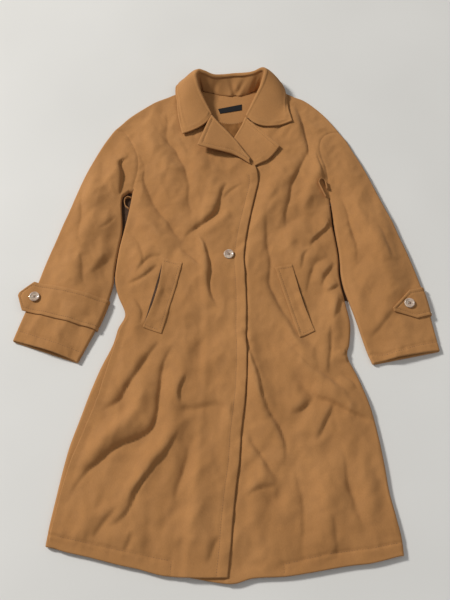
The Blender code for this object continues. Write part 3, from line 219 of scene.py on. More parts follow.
LAPEL_LEFT = (
    (0.7, 45.5, 9, 0.0, 45.8, 16.5, 2.0, 43.6, 21, 7.9, 38.2, 23.5),
    (0.0, 43.6, 9, -0.7, 43.8, 16, 2.6, 41.4, 18.5, 7.0, 36.6, 20),
    (-0.8, 41.6, 9, -1.5, 41.8, 15.5, 1.8, 39.4, 17, 5.8, 34.9, 18),
    (-1.7, 39.6, 8, -2.4, 39.7, 12.7, 0.6, 37.0, 13.8, 4.3, 33.4, 13.6),
    (-2.7, 37.2, 7.5, -3.4, 37.3, 12.0, -0.8, 34.8, 12.6, 2.4, 32.3, 13.0),
    (-3.6, 34.8, 7, -4.3, 34.8, 12.2, -2.6, 33.2, 12.2, 0.2, 31.6, 12.6),
)

# The chest hangs over the side below the left armhole along this line.
CHEST_TUCK = ((18.9, 23.6), (19.5, 22.2), (19.8, 20.4), (19.4, 18.1), (18.5, 16.3), (16.6, 14.4),
              (15.5, 12.6), (15.0, 10.4))
CHEST_TUCK_LIFT = 4.4 * MM
CHEST_TUCK_REACH = 38 * MM
CHEST_TUCK_UNDER = 16 * MM

WELT_RIGHT = ((-16.05, 7.4), (-12.0, 6.4), (-15.1, -10.0), (-18.9, -8.8))
WELT_LEFT = ((8.0, 6.3), (11.4, 7.1), (16.4, -8.0), (13.4, -9.6))

# Sleeve tabs: rows of the sleeve that their edges follow, and how far past the
# sleeve's outer edge, or across its top, the point reaches.
TAB_RIGHT_ROWS = (11.2, 13.05)
TAB_RIGHT_POINT = 33 * MM
TAB_LEFT_ROWS = (12.5, 14.05)
TAB_LEFT_SQUARE = 4.6        # column of the sleeve where the left tab's point begins
TAB_LEFT_POINT = 7.4         # and where it ends

BUTTON_FRONT = (-2.1, 9.1)
BUTTON_TAB_RIGHT = (-42.6, -2.75)
BUTTON_TAB_LEFT = (36.1, -0.8)

# Inside the neck: neckline point and lower point of each row of the back facing.
NECK_FACING = (
    (-10.6, 53.0, -11.6, 49.6),
    (-9.0, 52.7, -10.2, 46.9),
    (-6.5, 52.2, -7.6, 44.6),
    (-4.0, 51.95, -4.3, 43.6),
    (-1.8, 52.15, -1.2, 44.1),
    (0.4, 52.9, 1.6, 46.4),
    (1.9, 53.6, 3.4, 49.4),
)
FACING_THICK = 1.6 * MM
LINING_FOOT = 35.5
LINING_THICK = 0.8 * MM
LABEL = ((-6.6, 48.2), (-1.2, 49.75), (-1.1, 48.15), (-6.1, 46.9))
LABEL_THICK = 0.8 * MM

# Belt loops under the arms, on edge: x, y and how many millimetres the lower edge is
# over what lies below.
LOOP_LEFT = ((19.0, 26.9, 0.5), (18.4, 28.7, 0.5), (17.5, 28.9, 0.5), (17.1, 28.0, 0.5),
             (17.9, 26.3, 0.5), (18.7, 24.9, 0.5))
LOOP_RIGHT = ((-24.56, 22.4, 2), (-25.5, 22.6, 1.5), (-26.0, 21.8, 1), (-25.7, 20.4, 1),
              (-24.86, 19.6, 1.5))
LOOP_WIDTH = 6 * MM
LOOP_THICK = 1.8 * MM

# Soft folds: path, half width and height in millimetres, a trough being negative.
FOLDS = (
    # wearer's right front
    (((-22, 46), (-21.5, 38), (-17, 31), (-15.5, 24)), 20, 4.0),
    (((-13, 38), (-9, 29), (-6.5, 23)), 24, 5.0),
    (((-23, 21), (-19, 14), (-13, 9.5)), 17, 4.5),
    (((-2, 22), (-4, 17), (-8.6, 14)), 11, 3.0),
    (((-3, -5), (-8, -19)), 24, -3.5),
    (((-18.5, -18), (-18.5, -27), (-23, -32), (-28.5, -39)), 18, 7.0),
    (((-9, -9), (-11.2, -22), (-11.5, -31), (-15.5, -40), (-17, -51)), 20, 5.0),
    (((-3.5, -15), (-4.5, -26), (-3, -36)), 20, -3.0),
    (((-5, -31), (-5.5, -42), (-5, -54)), 22, 4.5),
    (((-21, -6), (-20, -14)), 18, 3.0),
    (((-14, -47), (-13, -56)), 13, -2.5),
    (((-25.5, -45), (-27, -54)), 15, 2.5),
    # wearer's left front
    (((7.5, 30), (5.5, 22), (3.5, 13)), 24, 6.0),
    (((16.3, 42), (17.3, 33), (15, 24), (13, 17)), 15, 4.0),
    (((11, 18), (10.5, 8)), 17, 3.0),
    (((10, -5), (13, -11), (18.5, -19.5)), 16, 4.0),
    (((2.3, -4), (4.5, -17), (6.5, -22), (11, -28)), 16, 5.0),
    (((7, -41), (9.5, -43), (11.3, -40)), 15, -3.4),
    (((19.5, 9), (20.7, -5), (20.5, -15)), 13, 3.0),
    (((15, -29), (18, -38), (20, -52)), 24, 4.5),
    (((11, -14), (15, -20), (21, -25)), 18, -3.0),
    (((25, -30), (27, -40), (29, -50)), 18, 3.5),
    (((6, -34), (6, -52)), 18, 2.5),
    # sleeves
    (((-33, 33), (-33.5, 20), (-34, 8), (-37, -2)), 28, 4.0),
    (((-28.5, 22), (-29.5, 10), (-31, 0)), 16, 2.5),
    (((25, 34), (29, 20), (32, 6), (35, -6)), 30, 4.0),
    (((24, 12), (25.5, 0), (28, -9)), 16, 2.5),
)

# Creases, high on the side of the light and low on the other: path, width, height.
CREASES = (
    # wearer's right front
    (((-19, 47), (-18.1, 38.2), (-16.1, 35.5), (-14.2, 31.7), (-12.4, 26.3), (-12.3, 22.1),
      (-11, 19.3), (-9.1, 17.8)), 12, 1.7),
    (((-24.4, 35), (-22.6, 31), (-22.4, 27), (-20.6, 22.6), (-18.9, 19.6), (-15.9, 16.4),
      (-13.6, 12.6), (-10.1, 10)), 11, 1.6),
    (((-3.4, 27.5), (-4.5, 25), (-4.8, 22.6), (-5.6, 19.6), (-7.9, 16.9), (-10.9, 14.6),
      (-12.5, 13.2)), 8, 2.5),
    (((0, 27.5), (-2.5, 25.5), (-4, 23)), 5, 0.9),
    (((-9, 14), (-7.1, 10.1), (-6.2, 6.2), (-5.8, 0), (-4.2, -3.2)), 5.5, 2.2),
    (((-13, 10.5), (-9.5, 7.5), (-7.5, 5.6)), 5, 1.2),
    (((-22, 4), (-19.5, 7.5), (-16.5, 8.5)), 5, 1.1),
    (((-23.5, 1.5), (-20, 3.6), (-17.3, 6.2)), 5, 1.3),
    (((-24.5, 14), (-21, 9), (-20.4, 5)), 7, 1.1),
    (((-21.5, -2), (-19.8, -5), (-19.6, -8)), 6, 1.0),
    (((-15.5, -11.5), (-18.4, -16.4), (-20.5, -20.4), (-22.5, -24.3), (-26.1, -27.4)), 10, 2.0),
    (((-12.5, -12), (-14.4, -18), (-14.6, -24), (-14.8, -28), (-16.2, -31), (-20.5, -33.4),
      (-24.8, -37), (-28, -40.5), (-30, -45)), 8.5, 2.2),
    (((-9.3, -18.5), (-10.3, -22), (-9.8, -24.5), (-8.6, -25)), 5, 1.4),
    (((-10.5, -26.4), (-6.5, -25.4), (-2.7, -24.8), (-0.4, -25.5)), 9, 1.5),
    (((-8, -33), (-10, -44)), 13, 1.8),
    (((-10, -30.5), (-11.7, -34.4), (-14.4, -38.5), (-16.8, -41.5), (-18.6, -45)), 7, 1.9),
    (((-15.5, -39), (-19, -47), (-21.5, -50)), 7, 1.6),
    (((-20.5, -45.5), (-24.5, -51.5)), 8, 1.4),
    (((-17, -50), (-18.5, -54)), 7, 1.1),
    (((-1, -50), (-3, -55)), 7, 1.0),
    # wearer's left front
    (((11.5, 50), (13.4, 43), (14.5, 36)), 8, 2.0),
    (((14.6, 38), (12.4, 32.3), (10.7, 27.6), (9.9, 22.3), (9.6, 16)), 9, 1.8),
    (((16.4, 36.9), (17.4, 32), (18.5, 28.5)), 6, 1.1),
    (((5.5, 19), (6.4, 8), (7, 1), (11, -6), (13, -10)), 10, 2.0),
    (((15.2, 11.2), (13.8, 9.1), (13.2, 6)), 6, 1.4),
    (((20.5, 8.5), (18.6, 5.6), (17.8, 2.6)), 6, 1.5),
    (((19, 10), (15.8, 7.5), (14.2, 1)), 10, 1.6),
    (((21.6, 3.4), (18.8, 1.4)), 5, 1.2),
    (((22.6, 1.8), (21.3, -1.7), (20.4, -5.2)), 6, 1.3),
    (((20, -6), (19.3, -17)), 7, 1.5),
    (((1.6, -8), (3.2, -13), (5.2, -19), (7, -25), (10, -29.7), (10.8, -32.6), (10.5, -36)), 7, 2.1),
    (((3.6, -30.5), (5.8, -34.5), (7.8, -37.4), (11.1, -39.3)), 7, 1.7),
    (((4, -42.6), (6.7, -40.9), (9.6, -39.8)), 6, 1.4),
    (((15.8, -21.4), (19, -22.8), (22.6, -24.3), (27.6, -26.3)), 8, 2.2),
    (((19.8, -23.2), (18.8, -26.9), (16.9, -31)), 6, 1.4),
    (((11.5, -26.4), (14.3, -24.8), (16.6, -22.2)), 6, 1.2),
    (((9.5, -10), (14, -14.5), (19, -18), (24, -22)), 9, 1.3),
    (((13, -38), (14.2, -45), (14, -53)), 8, 1.1),
    (((22, -33), (23, -40), (25.5, -47)), 9, 1.3),
    (((20, -45), (21, -53)), 8, 1.0),
    (((22.5, -11.5), (23, -14.5)), 5, 1.2),
    (((22, -17), (24.8, -19.5)), 6, 1.3),
    # sleeves
    (((-26.3, 33.3), (-28.2, 32), (-27.4, 29), (-27.3, 26), (-27.4, 23.5)), 5, 2.4),
    (((-36, 24), (-35.6, 17), (-35, 10)), 9, 1.1),
    (((-34.5, 8), (-32.7, 0)), 9, 1.2),
    (((-27.3, 18), (-31, 13.5)), 6, 0.8),
    (((-27.2, 8), (-31.5, 3)), 7, 0.9),
    (((22, 25), (24, 17), (25.4, 9)), 9, 1.4),
    (((33, -2), (27.5, -9)), 10, 1.3),
    (((30, 18), (33, 9)), 9, 1.0),
)

# Seams and stitched lines pressed into the cloth: path, half width, depth.
GROOVES = (
    (((-32.5, -51.4), (-29, -52), (-25, -52.7), (-20, -53.5), (-16, -54.1), (-9.5, -55)), 2.8, 1.6),
    (((-9.4, -54.9), (-9.4, -57.6)), 2.5, 0.9),
    (((11.4, -54.5), (16, -53.2), (20, -52.2), (24, -51.4), (27, -51.0), (30, -50.2),
      (32.5, -49.6)), 2.8, 1.6),
    (((11.2, -54.4), (11.4, -56.6)), 2.5, 0.9),
    (((28, -12.5), (31, -12.4), (34, -11.5), (37, -10.3), (41.3, -9)), 2.4, 1.5),
    (((-44.7, -10.6), (-40, -12.2), (-35, -13.7), (-30.6, -14.9)), 2.4, 1.5),
    (((-24.6, -18.5), (-26.3, -23.5), (-27.9, -29.5), (-29.4, -35), (-30.3, -40), (-31.1, -45.5),
      (-31.7, -51)), 2.2, 0.9),
)
SEAMS_RIGHT_FRONT = (0, 1)   # rows of GROOVES that carry stitches
SEAMS_LEFT_FRONT = (2, 3)
SEAM_LEFT_CUFF = 4
SEAM_RIGHT_CUFF = 5

# Waves over the whole cloth: height and wavelength in millimetres, squeeze along the
# coat, seed, and how far inside the edges they are at full height.
WAVES = (
    (1.1, 55, 0.6, 1.0, 12),
    (0.45, 21, 1, 2.0, 12),
    (3.4, 120, 0.7, 13.0, 25),
    (0.2, 11, 1, 14.0, 25),
)
CRUMPLE_RISE = 3.4 * MM      # broad crumples, then fine ones
CRUMPLE_SIZE = 75 * MM
FINE_CRUMPLE_RISE = 1.1 * MM
FINE_CRUMPLE_SIZE = 30 * MM
CRUMPLE_SQUEEZE = 0.8
BEND = 5 * MM                # how far the paths of the folds are bent to and fro
BEND_SIZE = 48 * MM
FREE_REACH = 25 * MM         # how far inside the edges the cloth moves freely
SEAM_PUCKER = 0.5 * MM       # height, reach and count of the puckers beside a seam
SEAM_PUCKER_REACH = 16 * MM
PUCKERS = 95
ARM_PUCKER_REACH = 15 * MM
ARM_GROOVE = 3.5 * MM        # half width and depth of the armhole seams
ARM_GROOVE_DEPTH = 1.2 * MM

# ------------------------------------------------------------------ plan helpers
def seen(plan, height):
    """True place of a point that lies at this height and is read as plan."""
    plan = np.asarray(plan, float)
    height = np.asarray(height, float)[..., None]
    return EYE[:2] + (plan - EYE[:2]) * (EYE[2] - height) / (EYE[2] - READ_LEVEL)


def layout(points, height):
    """A table's (x, y) pairs in centimetres, as true metres round the middle."""
    points = np.asarray(points, float) * CM
    height = np.broadcast_to(height, points.shape[:-1])
    return seen(points, height) - MIDDLE


def smoothstep(t):
    t = np.clip(t, 0, 1)
    return t * t * (3 - 2 * t)


def lengths(points):
    """How far along a polyline each of its points is."""
    gaps = np.linalg.norm(np.diff(points, axis=0), axis=1)
    return np.concatenate([[0], np.cumsum(gaps)])


def along(points, steps):
    """The points of a polyline at these fractions of its length."""
    points = np.asarray(points, float)
    reach = lengths(points)
    steps = np.asarray(steps) * reach[-1]
    return np.stack([np.interp(steps, reach, points[:, k]) for k in range(points.shape[1])], -1)


def spline(points, steps):
    """Smooth curve through the points, at fractions that are even in point number."""
    points = np.asarray(points, float)
    last = len(points) - 1
    padded = np.vstack([2 * points[0] - points[1], points, 2 * points[-1] - points[-2]])
    place = np.clip(np.asarray(steps, float), 0, 1) * last
    start = np.minimum(place.astype(int), last - 1)
    t = (place - start)[:, None]
    a, b, c, d = (padded[start + k] for k in range(4))
    return 0.5 * (2 * b + (c - a) * t + (2 * a - 5 * b + 4 * c - d) * t**2 + (3 * b - a - 3 * c + d) * t**3)


def curved(path, height):
    """A table's path as a smooth curve over the plan."""
    points = layout(path, height)
    return spline(points, np.linspace(0, 1, 3 * len(points) - 2))


def unit(vectors):
    return vectors / np.maximum(np.linalg.norm(vectors, axis=-1, keepdims=True), 1e-12)


def line_distance(x, y, path):
    """Distance from the plan points to a path, its side, and how far along it."""
    best = np.full(np.shape(x), np.inf)
    side = np.zeros(np.shape(x))
    share = np.zeros(np.shape(x))
    before = lengths(path)
    for start, end, gap, done in zip(path[:-1], path[1:], np.diff(before), before):
        way = (end - start) / gap
        run = np.clip((x - start[0]) * way[0] + (y - start[1]) * way[1], 0, gap)
        off_x = x - start[0] - run * way[0]
        off_y = y - start[1] - run * way[1]
        far = np.hypot(off_x, off_y)
        nearer = far < best
        best = np.where(nearer, far, best)
        side = np.where(nearer, np.sign(way[0] * off_y - way[1] * off_x), side)
        share = np.where(nearer, (done + run) / before[-1], share)
    return best, side, share


# ------------------------------------------------------------------ height of the cloth
LIGHT_SIDE = np.array([-0.8, 0.6])           # where the light comes from, in the plan


def measured(paths, gain, level):
    """Rows of a table of folds, with their paths as smooth curves and in metres."""
    return [(curved(path, level), width * MM, gain * rise * MM) for path, width, rise in paths]


def edge_of(rows, first, level):
    """The line through one pair of columns of a table's rows."""
    return layout([row[first:first + 2] for row in rows], level)


FOLD_PATHS = measured(FOLDS, FOLD_GAIN, 14 * MM)
CREASE_PATHS = measured(CREASES, CREASE_GAIN, 14 * MM)
GROOVE_PATHS = [(layout(path, 12 * MM), width * MM, depth * MM) for path, width, depth in GROOVES]
TUCK_PATH = curved(CHEST_TUCK, 12 * MM)
UNDER_EDGE = edge_of(BODY[UNDERARM - 1:], UNDER, 9 * MM)
OVER_EDGE = edge_of(BODY[UNDERARM - 2:], OVER, 12 * MM)
UNDER_LAPEL = layout([(-5.0, 38.4), (-4.2, 36.2), (-1.2, 33.9), (2.0, 32.4)], 12 * MM)
ARM_PATHS = [edge_of(BODY[:UNDERARM + 1], side, SIDE_LEVEL) for side in (LEFT, RIGHT)]
RIMS = [
    layout(SHOULDER_LEFT, SIDE_LEVEL),
    layout(SHOULDER_RIGHT, SIDE_LEVEL),
    edge_of(BODY[UNDERARM:], LEFT, SIDE_LEVEL),
    edge_of(BODY[UNDERARM:], RIGHT, SIDE_LEVEL),
    edge_of([SHOULDER_LEFT[0], *SLEEVE_LEFT], 0, SIDE_LEVEL),
    layout([BODY[UNDERARM][:2]] + [row[2:] for row in SLEEVE_LEFT], SIDE_LEVEL),
    edge_of([SHOULDER_RIGHT[0], *SLEEVE_RIGHT], 0, SIDE_LEVEL),
    layout([BODY[UNDERARM][6:8]] + [row[2:] for row in SLEEVE_RIGHT], SIDE_LEVEL),
    layout(HEM_OVER, SIDE_LEVEL),
    layout(HEM_UNDER, SIDE_LEVEL),
    edge_of(BODY[:UNDERARM + 1], OVER, SIDE_LEVEL),
    edge_of(BODY[:UNDERARM + 1], UNDER, SIDE_LEVEL),
]


def ripple(x, y, size, seed):
    """Smooth noise of this wavelength over the plan, from -1 to 1."""
    flat = [noise.noise(Vector((a / size, b / size, seed))) for a, b in zip(np.ravel(x), np.ravel(y))]
    return np.array(flat).reshape(np.shape(x))


def ends(share, lead):
    """How a fold fades out at both ends of its path."""
    return smoothstep(share / lead + 0.12) * smoothstep((1 - share) / lead + 0.12)


def hump(far, width):
    """A soft bell over the distance from a line."""
    return np.exp(-(far / width) ** 2)


def not_below(height, lowest):
    """The height, rounded off softly where it would pass below the lowest level."""
    spare = height - lowest
    return lowest + 0.5 * (spare + np.sqrt(spare**2 + (1.2 * MM) ** 2))


# The section of a crease, in its own widths and heights.
CREST_REACH = 1.8
CREST_HEIGHT = 1.6
LIP_REACH = 1.2
VALLEY_DEPTH = 0.6
VALLEY_PLACE = 0.4
CREASE_END = 5


def crease(x, y, path, width, rise):
    """A fold along a path: a broad crest towards the light, then a steep fall to a sharp valley."""
    far, side, share = line_distance(x, y, path)
    run = path[-1] - path[0]
    towards = 1.0 if np.dot([-run[1], run[0]], LIGHT_SIDE) > 0 else -1.0
    swell = np.sin(np.clip(share, 0, 1) * math.pi) ** 0.7
    off = far * side * towards / (width * (0.5 + 0.5 * swell)) + VALLEY_PLACE
    crest = np.maximum(off, 0) / CREST_REACH
    lip = np.maximum(-off, 0) / LIP_REACH
    height = CREST_HEIGHT * crest * np.exp(1 - crest) - VALLEY_DEPTH * np.exp(-0.8 * crest - lip)
    return rise * height * swell * (1 - smoothstep((far / width - CREASE_END) / 3))


RIDGE_ROUNDING = 0.0004      # how soft the ridges of crumples are


def crumple(x, y, size, seed):
    """Flat planes that meet at soft, thin ridges and valleys, from -1 to 1."""
    first = ripple(x, y, size, seed)
    second = ripple(x + 0.3 * size, y, 0.8 * size, seed + 30)
    return 1.6 * (np.sqrt(first**2 + RIDGE_ROUNDING) - np.sqrt(second**2 + RIDGE_ROUNDING))


def chest_tuck(x, y):
    """The chest's overhang above its line, and the hollow below it."""
    far, side, share = line_distance(x, y, TUCK_PATH)
    swell = smoothstep(share * 5) * smoothstep((1 - share) * 3.5)
    over = CHEST_TUCK_LIFT * hump(far, CHEST_TUCK_REACH)
    under = -0.6 * CHEST_TUCK_LIFT * hump(far, CHEST_TUCK_UNDER)
    return np.where(side < 0, over, under) * swell * np.clip(far / (2.5 * MM), 0, 1)


def pressed_seams(x, y):
    """Grooves along the seams, with the puckers that their stitches pull beside them."""
    height = np.zeros(np.shape(x))
    for path, width, depth in GROOVE_PATHS:
        far, _, share = line_distance(x, y, path)
        pull = 1 + 0.6 * ripple(share * 40, share, 1.0, width)
        height = height - depth * hump(far, width) * pull
        puckers = np.sin(share * PUCKERS) * (pull - 0.6)
        height = height + SEAM_PUCKER * hump(far, SEAM_PUCKER_REACH) * puckers
    for path in ARM_PATHS:
        far, _, share = line_distance(x, y, path)
        pucker = SEAM_PUCKER * ripple(share * 30, share, 1.0, 5.0) * hump(far, ARM_PUCKER_REACH)
        height = height - ARM_GROOVE_DEPTH * hump(far, ARM_GROOVE) + pucker
    return height


def top(x, y):
    """Height of the outside of the upper layer where nothing lies under it."""
    inside = np.full(np.shape(x), 1.0)
    for rim in RIMS:
        inside = np.minimum(inside, line_distance(x, y, rim)[0])
    height = FLAT_TOP + PUFF * smoothstep(inside / PUFF_REACH)
    free = smoothstep(inside / FREE_REACH)
    bent_x = x + free * BEND * ripple(x, y, BEND_SIZE, 11.0)
    bent_y = y + free * BEND * ripple(x, y, BEND_SIZE, 12.0)
    for path, width, rise in FOLD_PATHS:
        far, _, share = line_distance(bent_x, bent_y, path)
        height = height + rise * hump(far, width) * ends(share, 0.45)
    for path, width, rise in CREASE_PATHS:
        height = height + crease(bent_x, bent_y, path, width, rise)
    height = height + chest_tuck(x, y) + pressed_seams(x, y)
    for rise, size, squeeze, seed, reach in WAVES:
        wave = rise * MM * ripple(x, y * squeeze, size * MM, seed)
        height = height + smoothstep(inside / (reach * MM)) * wave
    broad = CRUMPLE_RISE * crumple(bent_x, bent_y * CRUMPLE_SQUEEZE, CRUMPLE_SIZE, 15.0)
    fine = FINE_CRUMPLE_RISE * crumple(x, y * CRUMPLE_SQUEEZE, FINE_CRUMPLE_SIZE, 17.0)
    return not_below(height + free * (broad + fine), LOWEST_TOP)


HIDE_LEAD = 12 * MM          # the lower front gets plain from here, over this width
HIDE_WIDTH = 30 * MM
CLIMB_LEAD = 24 * MM         # the upper front climbs from here, over this width
CLIMB_WIDTH = 18 * MM
LAPEL_REACH = 22 * MM
LAPEL_FADE = 25 * MM


def top_under(x, y):
    """The same for the lower front, which is plain where the upper front hides it."""
    far, side, _ = line_distance(x, y, OVER_EDGE)
    inside = np.where(side < 0, far, -far)
    hidden = smoothstep((inside + HIDE_LEAD) / HIDE_WIDTH)
    return top(x, y) * (1 - hidden) + HIDDEN_TOP * hidden


def top_over(x, y):
    """The same for the upper front, which climbs over the lower front's edge and lapel."""
    far, side, _ = line_distance(x, y, UNDER_EDGE)
    beyond = np.where(side > 0, far, -far)
    over = smoothstep((beyond + CLIMB_LEAD) / CLIMB_WIDTH)
    far, _, _ = line_distance(x, y, UNDER_LAPEL)
    over_lapel = 1 - smoothstep((far - LAPEL_REACH) / LAPEL_FADE)
    height = top(x, y) + UNDER_EDGE_LIFT * (over + 0.9 * over_lapel)
    lowest = HIDDEN_TOP + HEMMED + CLEAR
    return not_below(height, LOWEST_TOP + (lowest - LOWEST_TOP) * over)


def on_level(level):
    """A flat surface at this height."""
    def surface(x, y):
        return np.full(np.shape(x), level)
    return surface


def normal_of(surface, plan):
    """Normals of a height field at single plan points."""
    step = 1.0 * MM
    x, y = plan[..., 0], plan[..., 1]
    slope_x = (surface(x + step, y) - surface(x - step, y)) / (2 * step)
    slope_y = (surface(x, y + step) - surface(x, y - step)) / (2 * step)
    return unit(np.stack([-slope_x, -slope_y, np.ones_like(slope_x)], -1))


def on_surface(surface, plan):
    """Points of a height field at the plan points, with their normals."""
    points = np.concatenate([plan, surface(plan[..., 0], plan[..., 1])[..., None]], -1)
    if plan.ndim == 3 and min(plan.shape[:2]) > 2:
        return points, grid_normals(points, up=True)
    return points, normal_of(surface, plan)


def grid_normals(points, up=False):
    """Normals of a grid of points, all turned upwards if asked for."""
    found = unit(np.cross(np.gradient(points, axis=1), np.gradient(points, axis=0)))
    if up:
        found = found * np.where(found[..., 2:] < 0, -1, 1)
    return found


# ------------------------------------------------------------------ shells
RIM = np.radians([30, 60, 90, 120, 150])     # steps round an edge, and round an end row
CAP = np.radians([25, 50, 75])


def add_piece(name, points, faces, slot, node):
    """A smooth mesh that rides the coat's body, in its slot and in place of its node."""
    mesh = bpy.data.meshes.new(name)
    mesh.from_pydata(np.asarray(points).reshape(-1, 3).tolist(), [], faces)
    mesh.validate()
    shape = bmesh.new()
    shape.from_mesh(mesh)
    bmesh.ops.recalc_face_normals(shape, faces=shape.faces)
    shape.to_mesh(mesh)
    shape.free()
    mesh.shade_smooth()
    piece = bpy.data.objects.new(name, mesh)
    bpy.context.scene.collection.objects.link(piece)
    mesh.materials.append(MATERIALS[slot])
    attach(piece, "root")
    if node:
        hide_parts(node)
    return piece


def grid_faces(rows, around, closed):
    """Quads of a grid whose columns run round a loop, and whose rows may too."""
    row = np.arange(rows if closed else rows - 1)[:, None] * around
    after_row = (row + around) % (rows * around)
    column = np.arange(around)[None, :]
    after = (column + 1) % around
    quads = np.stack([row + column, row + after, after_row + after, after_row + column], -1)
    return quads.reshape(-1, 4).tolist()


def cloth(name, outside, normals, thick, slot="cloth", node=None):
    """A closed sheet of cloth under a grid of outside points, its edges rounded over."""
    rows, columns = outside.shape[:2]
    thick = np.broadcast_to(np.asarray(thick, float), (rows, columns))[..., None]
    middle = outside - normals * thick / 2
    half = normals * thick / 2
    loops = [middle + half]
    mids = [middle]
    for edge, inner, angles in ((-1, -2, RIM), (0, 1, RIM[::-1])):
        out = unit(middle[:, edge] - middle[:, inner])
        out = unit(out - normals[:, edge] * np.sum(out * normals[:, edge], axis=1, keepdims=True))
        out = out * thick[:, edge] / 2
        rim = [middle[:, edge] + math.cos(turn) * half[:, edge] + math.sin(turn) * out for turn in angles]
        if edge == -1:
            loops += [np.stack(rim, 1), (middle - half)[:, ::-1]]
            mids += [np.repeat(middle[:, edge:], len(RIM), 1), middle[:, ::-1]]
        else:
            loops.append(np.stack(rim, 1))
            mids.append(np.repeat(middle[:, :1], len(RIM), 1))
    loop = np.concatenate(loops, 1)
    mid = np.concatenate(mids, 1)
    caps = []
    for edge, inner in ((0, 1), (-1, -2)):
        out = unit(mid[edge] - mid[inner]) * np.mean(thick[edge]) / 2
        rings = [mid[edge] + (loop[edge] - mid[edge]) * math.cos(turn) + out * math.sin(turn) for turn in CAP]
        caps.append(np.stack(rings))
    whole = np.concatenate([caps[0][::-1], loop, caps[1]])
    lines, around = whole.shape[:2]
    faces = grid_faces(lines, around, False)
    for start, flip in ((0, 1), ((lines - 1) * around, -1)):
        far = columns + len(RIM)
        for step in range(columns - 1):
            a, b = start + step, start + step + 1
            c, d = start + far + columns - 2 - step, start + far + columns - 1 - step
            faces.append([a, b, c, d][::flip])
        faces.append([start + k for k in range(columns - 1, far + 1)][::flip])
        back_rim = range(far + columns - 1, around + 1)
        faces.append([start + k % around for k in back_rim][::flip])
    return add_piece(name, whole, faces, slot, node)


def tube(name, outside, normals, thick, node):
    """A closed sleeve of cloth: its outside, a rolled rim, its inside, and a rim again."""
    thick = np.asarray(thick)[:, None, None]
    middle = outside - normals * thick / 2
    half = normals * thick / 2
    loops = [middle + half]
    for edge, inner in ((-1, -2), (0, 1)):
        out = unit(middle[edge] - middle[inner]) * thick[edge] / 2
        turns = RIM if edge == -1 else RIM[::-1]
        rim = [middle[edge] + math.cos(turn) * half[edge] + math.sin(turn) * out for turn in turns]
        loops.append(np.stack(rim))
        if edge == -1:
            loops.append((middle - half)[::-1])
    whole = np.concatenate(loops)
    return add_piece(name, whole, grid_faces(*whole.shape[:2], True), "cloth", node)


# ------------------------------------------------------------------ stitching
STITCH = 3.4 * MM            # length of a stitch, and from one stitch to the next
STITCH_STEP = 5.0 * MM
THREAD = 1.0 * MM
THREAD_SINK = 0.2 * MM       # how deep a stitch's ends lie in the cloth
STITCH_GROOVE = 2 * MM       # half widths of the pressed line and of the puckers beside it
PUCKER_REACH = 9 * MM
PUCKER_RISE = 0.45 * MM
EDGE_SWELL = 0.5 * MM        # rise of the cloth between the stitches and the edge


def thread_run(path, normals):
    """Vertices and faces of the stitches along a line on the cloth."""
    reach = lengths(path)
    points, faces = [], []
    for number in range(int(reach[-1] / STITCH_STEP)):
        ends_at = np.array([0.0, 0.22, 0.78, 1.0]) * STITCH + (number + 0.3) * STITCH_STEP
        line = np.stack([np.interp(ends_at, reach, path[:, k]) for k in range(3)], -1)
        up = unit(np.array([np.interp(ends_at[1], reach, normals[:, k]) for k in range(3)]))
        side = unit(np.cross(line[-1] - line[0], up))
        start = len(points)
        points.append(line[0] - up * THREAD_SINK)
        for spot in line[1:3]:
            points += [spot + side * THREAD / 2, spot + up * 0.45 * THREAD, spot - side * THREAD / 2]
        points.append(line[3] - up * THREAD_SINK)
        for a, b in ((1, 2), (2, 3)):
            faces += [(start, start + a, start + b), (start + a, start + a + 3, start + b + 3, start + b),
                      (start + b + 3, start + a + 3, start + 7)]
    return points, faces


def stitching(name, runs):
    """One piece for all the stitches of a panel, open underneath where they sink in."""
    points, faces = [], []
    for path, normals in runs:
        more, joined = thread_run(path, normals)
        faces += [tuple(corner + len(points) for corner in face) for face in joined]
        points += more
    return add_piece(name, points, faces, "thread", None)


def inset_lines(points, gaps):
    """How far each grid point is from the four edges: first and last column, first and last row."""
    across = np.linalg.norm(np.diff(points, axis=1), axis=2)
    down = np.linalg.norm(np.diff(points, axis=0), axis=2)
    left = np.concatenate([np.zeros((len(points), 1)), np.cumsum(across, 1)], 1)
    head = np.concatenate([np.zeros((1, points.shape[1])), np.cumsum(down, 0)], 0)
    return {"left": left, "right": left[:, -1:] - left, "head": head, "foot": head[-1:] - head}[gaps]


def stitch_edges(points, normals, inset, edges, depth=1.0 * MM):
    """Presses topstitching into a grid along the named edges and returns its lines."""
    fields = {edge: inset_lines(points, edge) for edge in edges}
    inner = np.minimum.reduce(list(fields.values()))
    pressed = depth * hump(inner - inset, STITCH_GROOVE)
    pucker = ripple(points[..., 0], points[..., 1], PUCKER_REACH, 3.0) * hump(inner - inset, PUCKER_REACH)
    swell = EDGE_SWELL * np.sin(np.clip(inner / inset, 0, 1) * math.pi)
    points += normals * (swell - pressed + PUCKER_RISE * pucker)[..., None]
    runs = []
    for edge in edges:
        others = [fields[other] for other in edges if other != edge]
        lines, ups, spots = points, normals, fields[edge]
        if edge in ("head", "foot"):
            lines, ups, spots = points.swapaxes(0, 1), normals.swapaxes(0, 1), spots.T
            others = [other.T for other in others]
        track, lift = [], []
        for at in range(len(lines)):
            order = np.argsort(spots[at])
            nearest = int(np.argmin(np.abs(spots[at] - inset)))
            if spots[at].max() < inset or any(other[at, nearest] < inset for other in others):
                continue
            track.append([np.interp(inset, spots[at][order], lines[at][order, k]) for k in range(3)])
            lift.append([np.interp(inset, spots[at][order], ups[at][order, k]) for k in range(3)])
        if len(track) > 3:
            runs.append((np.array(track), unit(np.array(lift))))
    return runs


